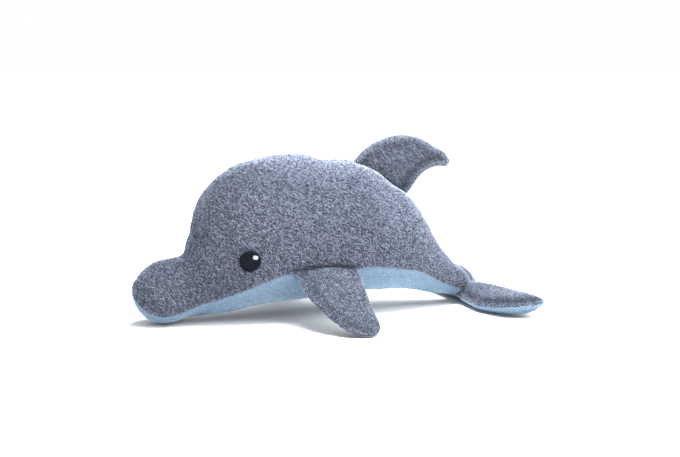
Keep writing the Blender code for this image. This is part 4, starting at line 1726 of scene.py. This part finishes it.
class DOLPHIN_OT_set_stage(bpy.types.Operator):
    """Lay a plain pale floor and set soft studio lights and the camera"""
    bl_idname = "plush_dolphin.set_stage"
    bl_label = "Set stage"

    def execute(self, context):
        scene = context.scene
        bpy.ops.object.select_all(action="DESELECT")
        bpy.ops.mesh.primitive_plane_add(size=FLOOR_SIZE, location=(0, 0, 0))
        floor = context.active_object
        floor.name = "studio_floor"
        floor.data.materials.append(painted_floor("matte_studio_paint", scene.dolphin_colours.floor))

        world = bpy.data.worlds.new("studio_surround")
        scene.world = world
        world.use_nodes = True
        tree = world.node_tree
        tree.nodes.clear()
        glow, paper = (
            add_node(tree, "ShaderNodeBackground", {"Color": (*WHITE, 1.0), "Strength": strength})
            for strength in (SURROUND_GLOW, SURROUND_SHOWN)
        )
        seen = add_node(tree, "ShaderNodeLightPath", {}).outputs["Is Camera Ray"]
        mix = add_node(tree, "ShaderNodeMixShader", {}, {0: seen, 1: glow.outputs[0], 2: paper.outputs[0]})
        add_node(tree, "ShaderNodeOutputWorld", {}, {"Surface": mix.outputs[0]})

        for name, way, strength, spread, colour in WIDE_LAMPS:
            settings = {"energy": strength, "angle": math.radians(spread)}
            lamp = add_lamp(name, "SUN", colour, Vector(way) * WIDE_LAMP_DISTANCE, settings)
            lamp.rotation_euler = Vector(way).to_track_quat("Z", "Y").to_euler()
        add_lamp("overhead_softbox", "AREA", SOFTBOX_COLOUR, SOFTBOX_PLACE,
                 {"shape": "DISK", "size": SOFTBOX_SIZE, "energy": SOFTBOX_POWER})

        lens = bpy.data.cameras.new("photo_camera")
        lens.lens = CAMERA_LENS
        lens.sensor_width = CAMERA_SENSOR
        lens.clip_start = NEAR_LIMIT
        lens.clip_end = FAR_LIMIT
        camera = bpy.data.objects.new("photo_camera", lens)
        camera.location = CAMERA_PLACE
        sight = Vector(CAMERA_TARGET) - Vector(CAMERA_PLACE)
        camera.rotation_euler = sight.to_track_quat("-Z", "Y").to_euler()
        scene.collection.objects.link(camera)
        scene.camera = camera
        scene.view_settings.view_transform = "Standard"
        scene.view_settings.look = "None"
        return {"FINISHED"}


class DOLPHIN_PT_workshop(bpy.types.Panel):
    """Lists the steps and the settings of the plush dolphin"""
    bl_label = "Plush dolphin"
    bl_idname = "DOLPHIN_PT_workshop"
    bl_space_type = "VIEW_3D"
    bl_region_type = "UI"
    bl_category = "Plush dolphin"

    def draw(self, context):
        layout = self.layout
        for group in SETTINGS:
            settings = getattr(context.scene, group)
            box = layout.box()
            for key in type(settings).__annotations__:
                box.prop(settings, key)
        for step in STEPS:
            layout.operator(step.bl_idname)


SETTINGS = {
    "dolphin_pile": PileSettings,
    "dolphin_stuffing": StuffingSettings,
    "dolphin_eyes": EyeSettings,
    "dolphin_colours": DolphinColours,
}
STEPS = [
    DOLPHIN_OT_sew_body,
    DOLPHIN_OT_sew_dorsal_fin,
    DOLPHIN_OT_sew_flippers,
    DOLPHIN_OT_sew_flukes,
    DOLPHIN_OT_stitch_eyes,
    DOLPHIN_OT_stuff_bags,
    DOLPHIN_OT_set_stage,
]


def register():
    """Add the steps, the settings and the panel."""
    for group in (*SETTINGS.values(), *STEPS, DOLPHIN_PT_workshop):
        bpy.utils.register_class(group)
    for name, group in SETTINGS.items():
        setattr(bpy.types.Scene, name, bpy.props.PointerProperty(type=group))


def unregister():
    """Take away what register added."""
    for name in SETTINGS:
        delattr(bpy.types.Scene, name)
    for group in (DOLPHIN_PT_workshop, *reversed(STEPS), *reversed(SETTINGS.values())):
        bpy.utils.unregister_class(group)


def main():
    """Sew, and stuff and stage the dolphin."""
    register()
    bpy.ops.plush_dolphin.sew_body()
    bpy.ops.plush_dolphin.sew_dorsal_fin()
    bpy.ops.plush_dolphin.sew_flippers()
    bpy.ops.plush_dolphin.sew_flukes()
    bpy.ops.plush_dolphin.stitch_eyes()
    bpy.ops.plush_dolphin.stuff_bags()
    bpy.ops.plush_dolphin.set_stage()


if __name__ == "__main__":
    main()
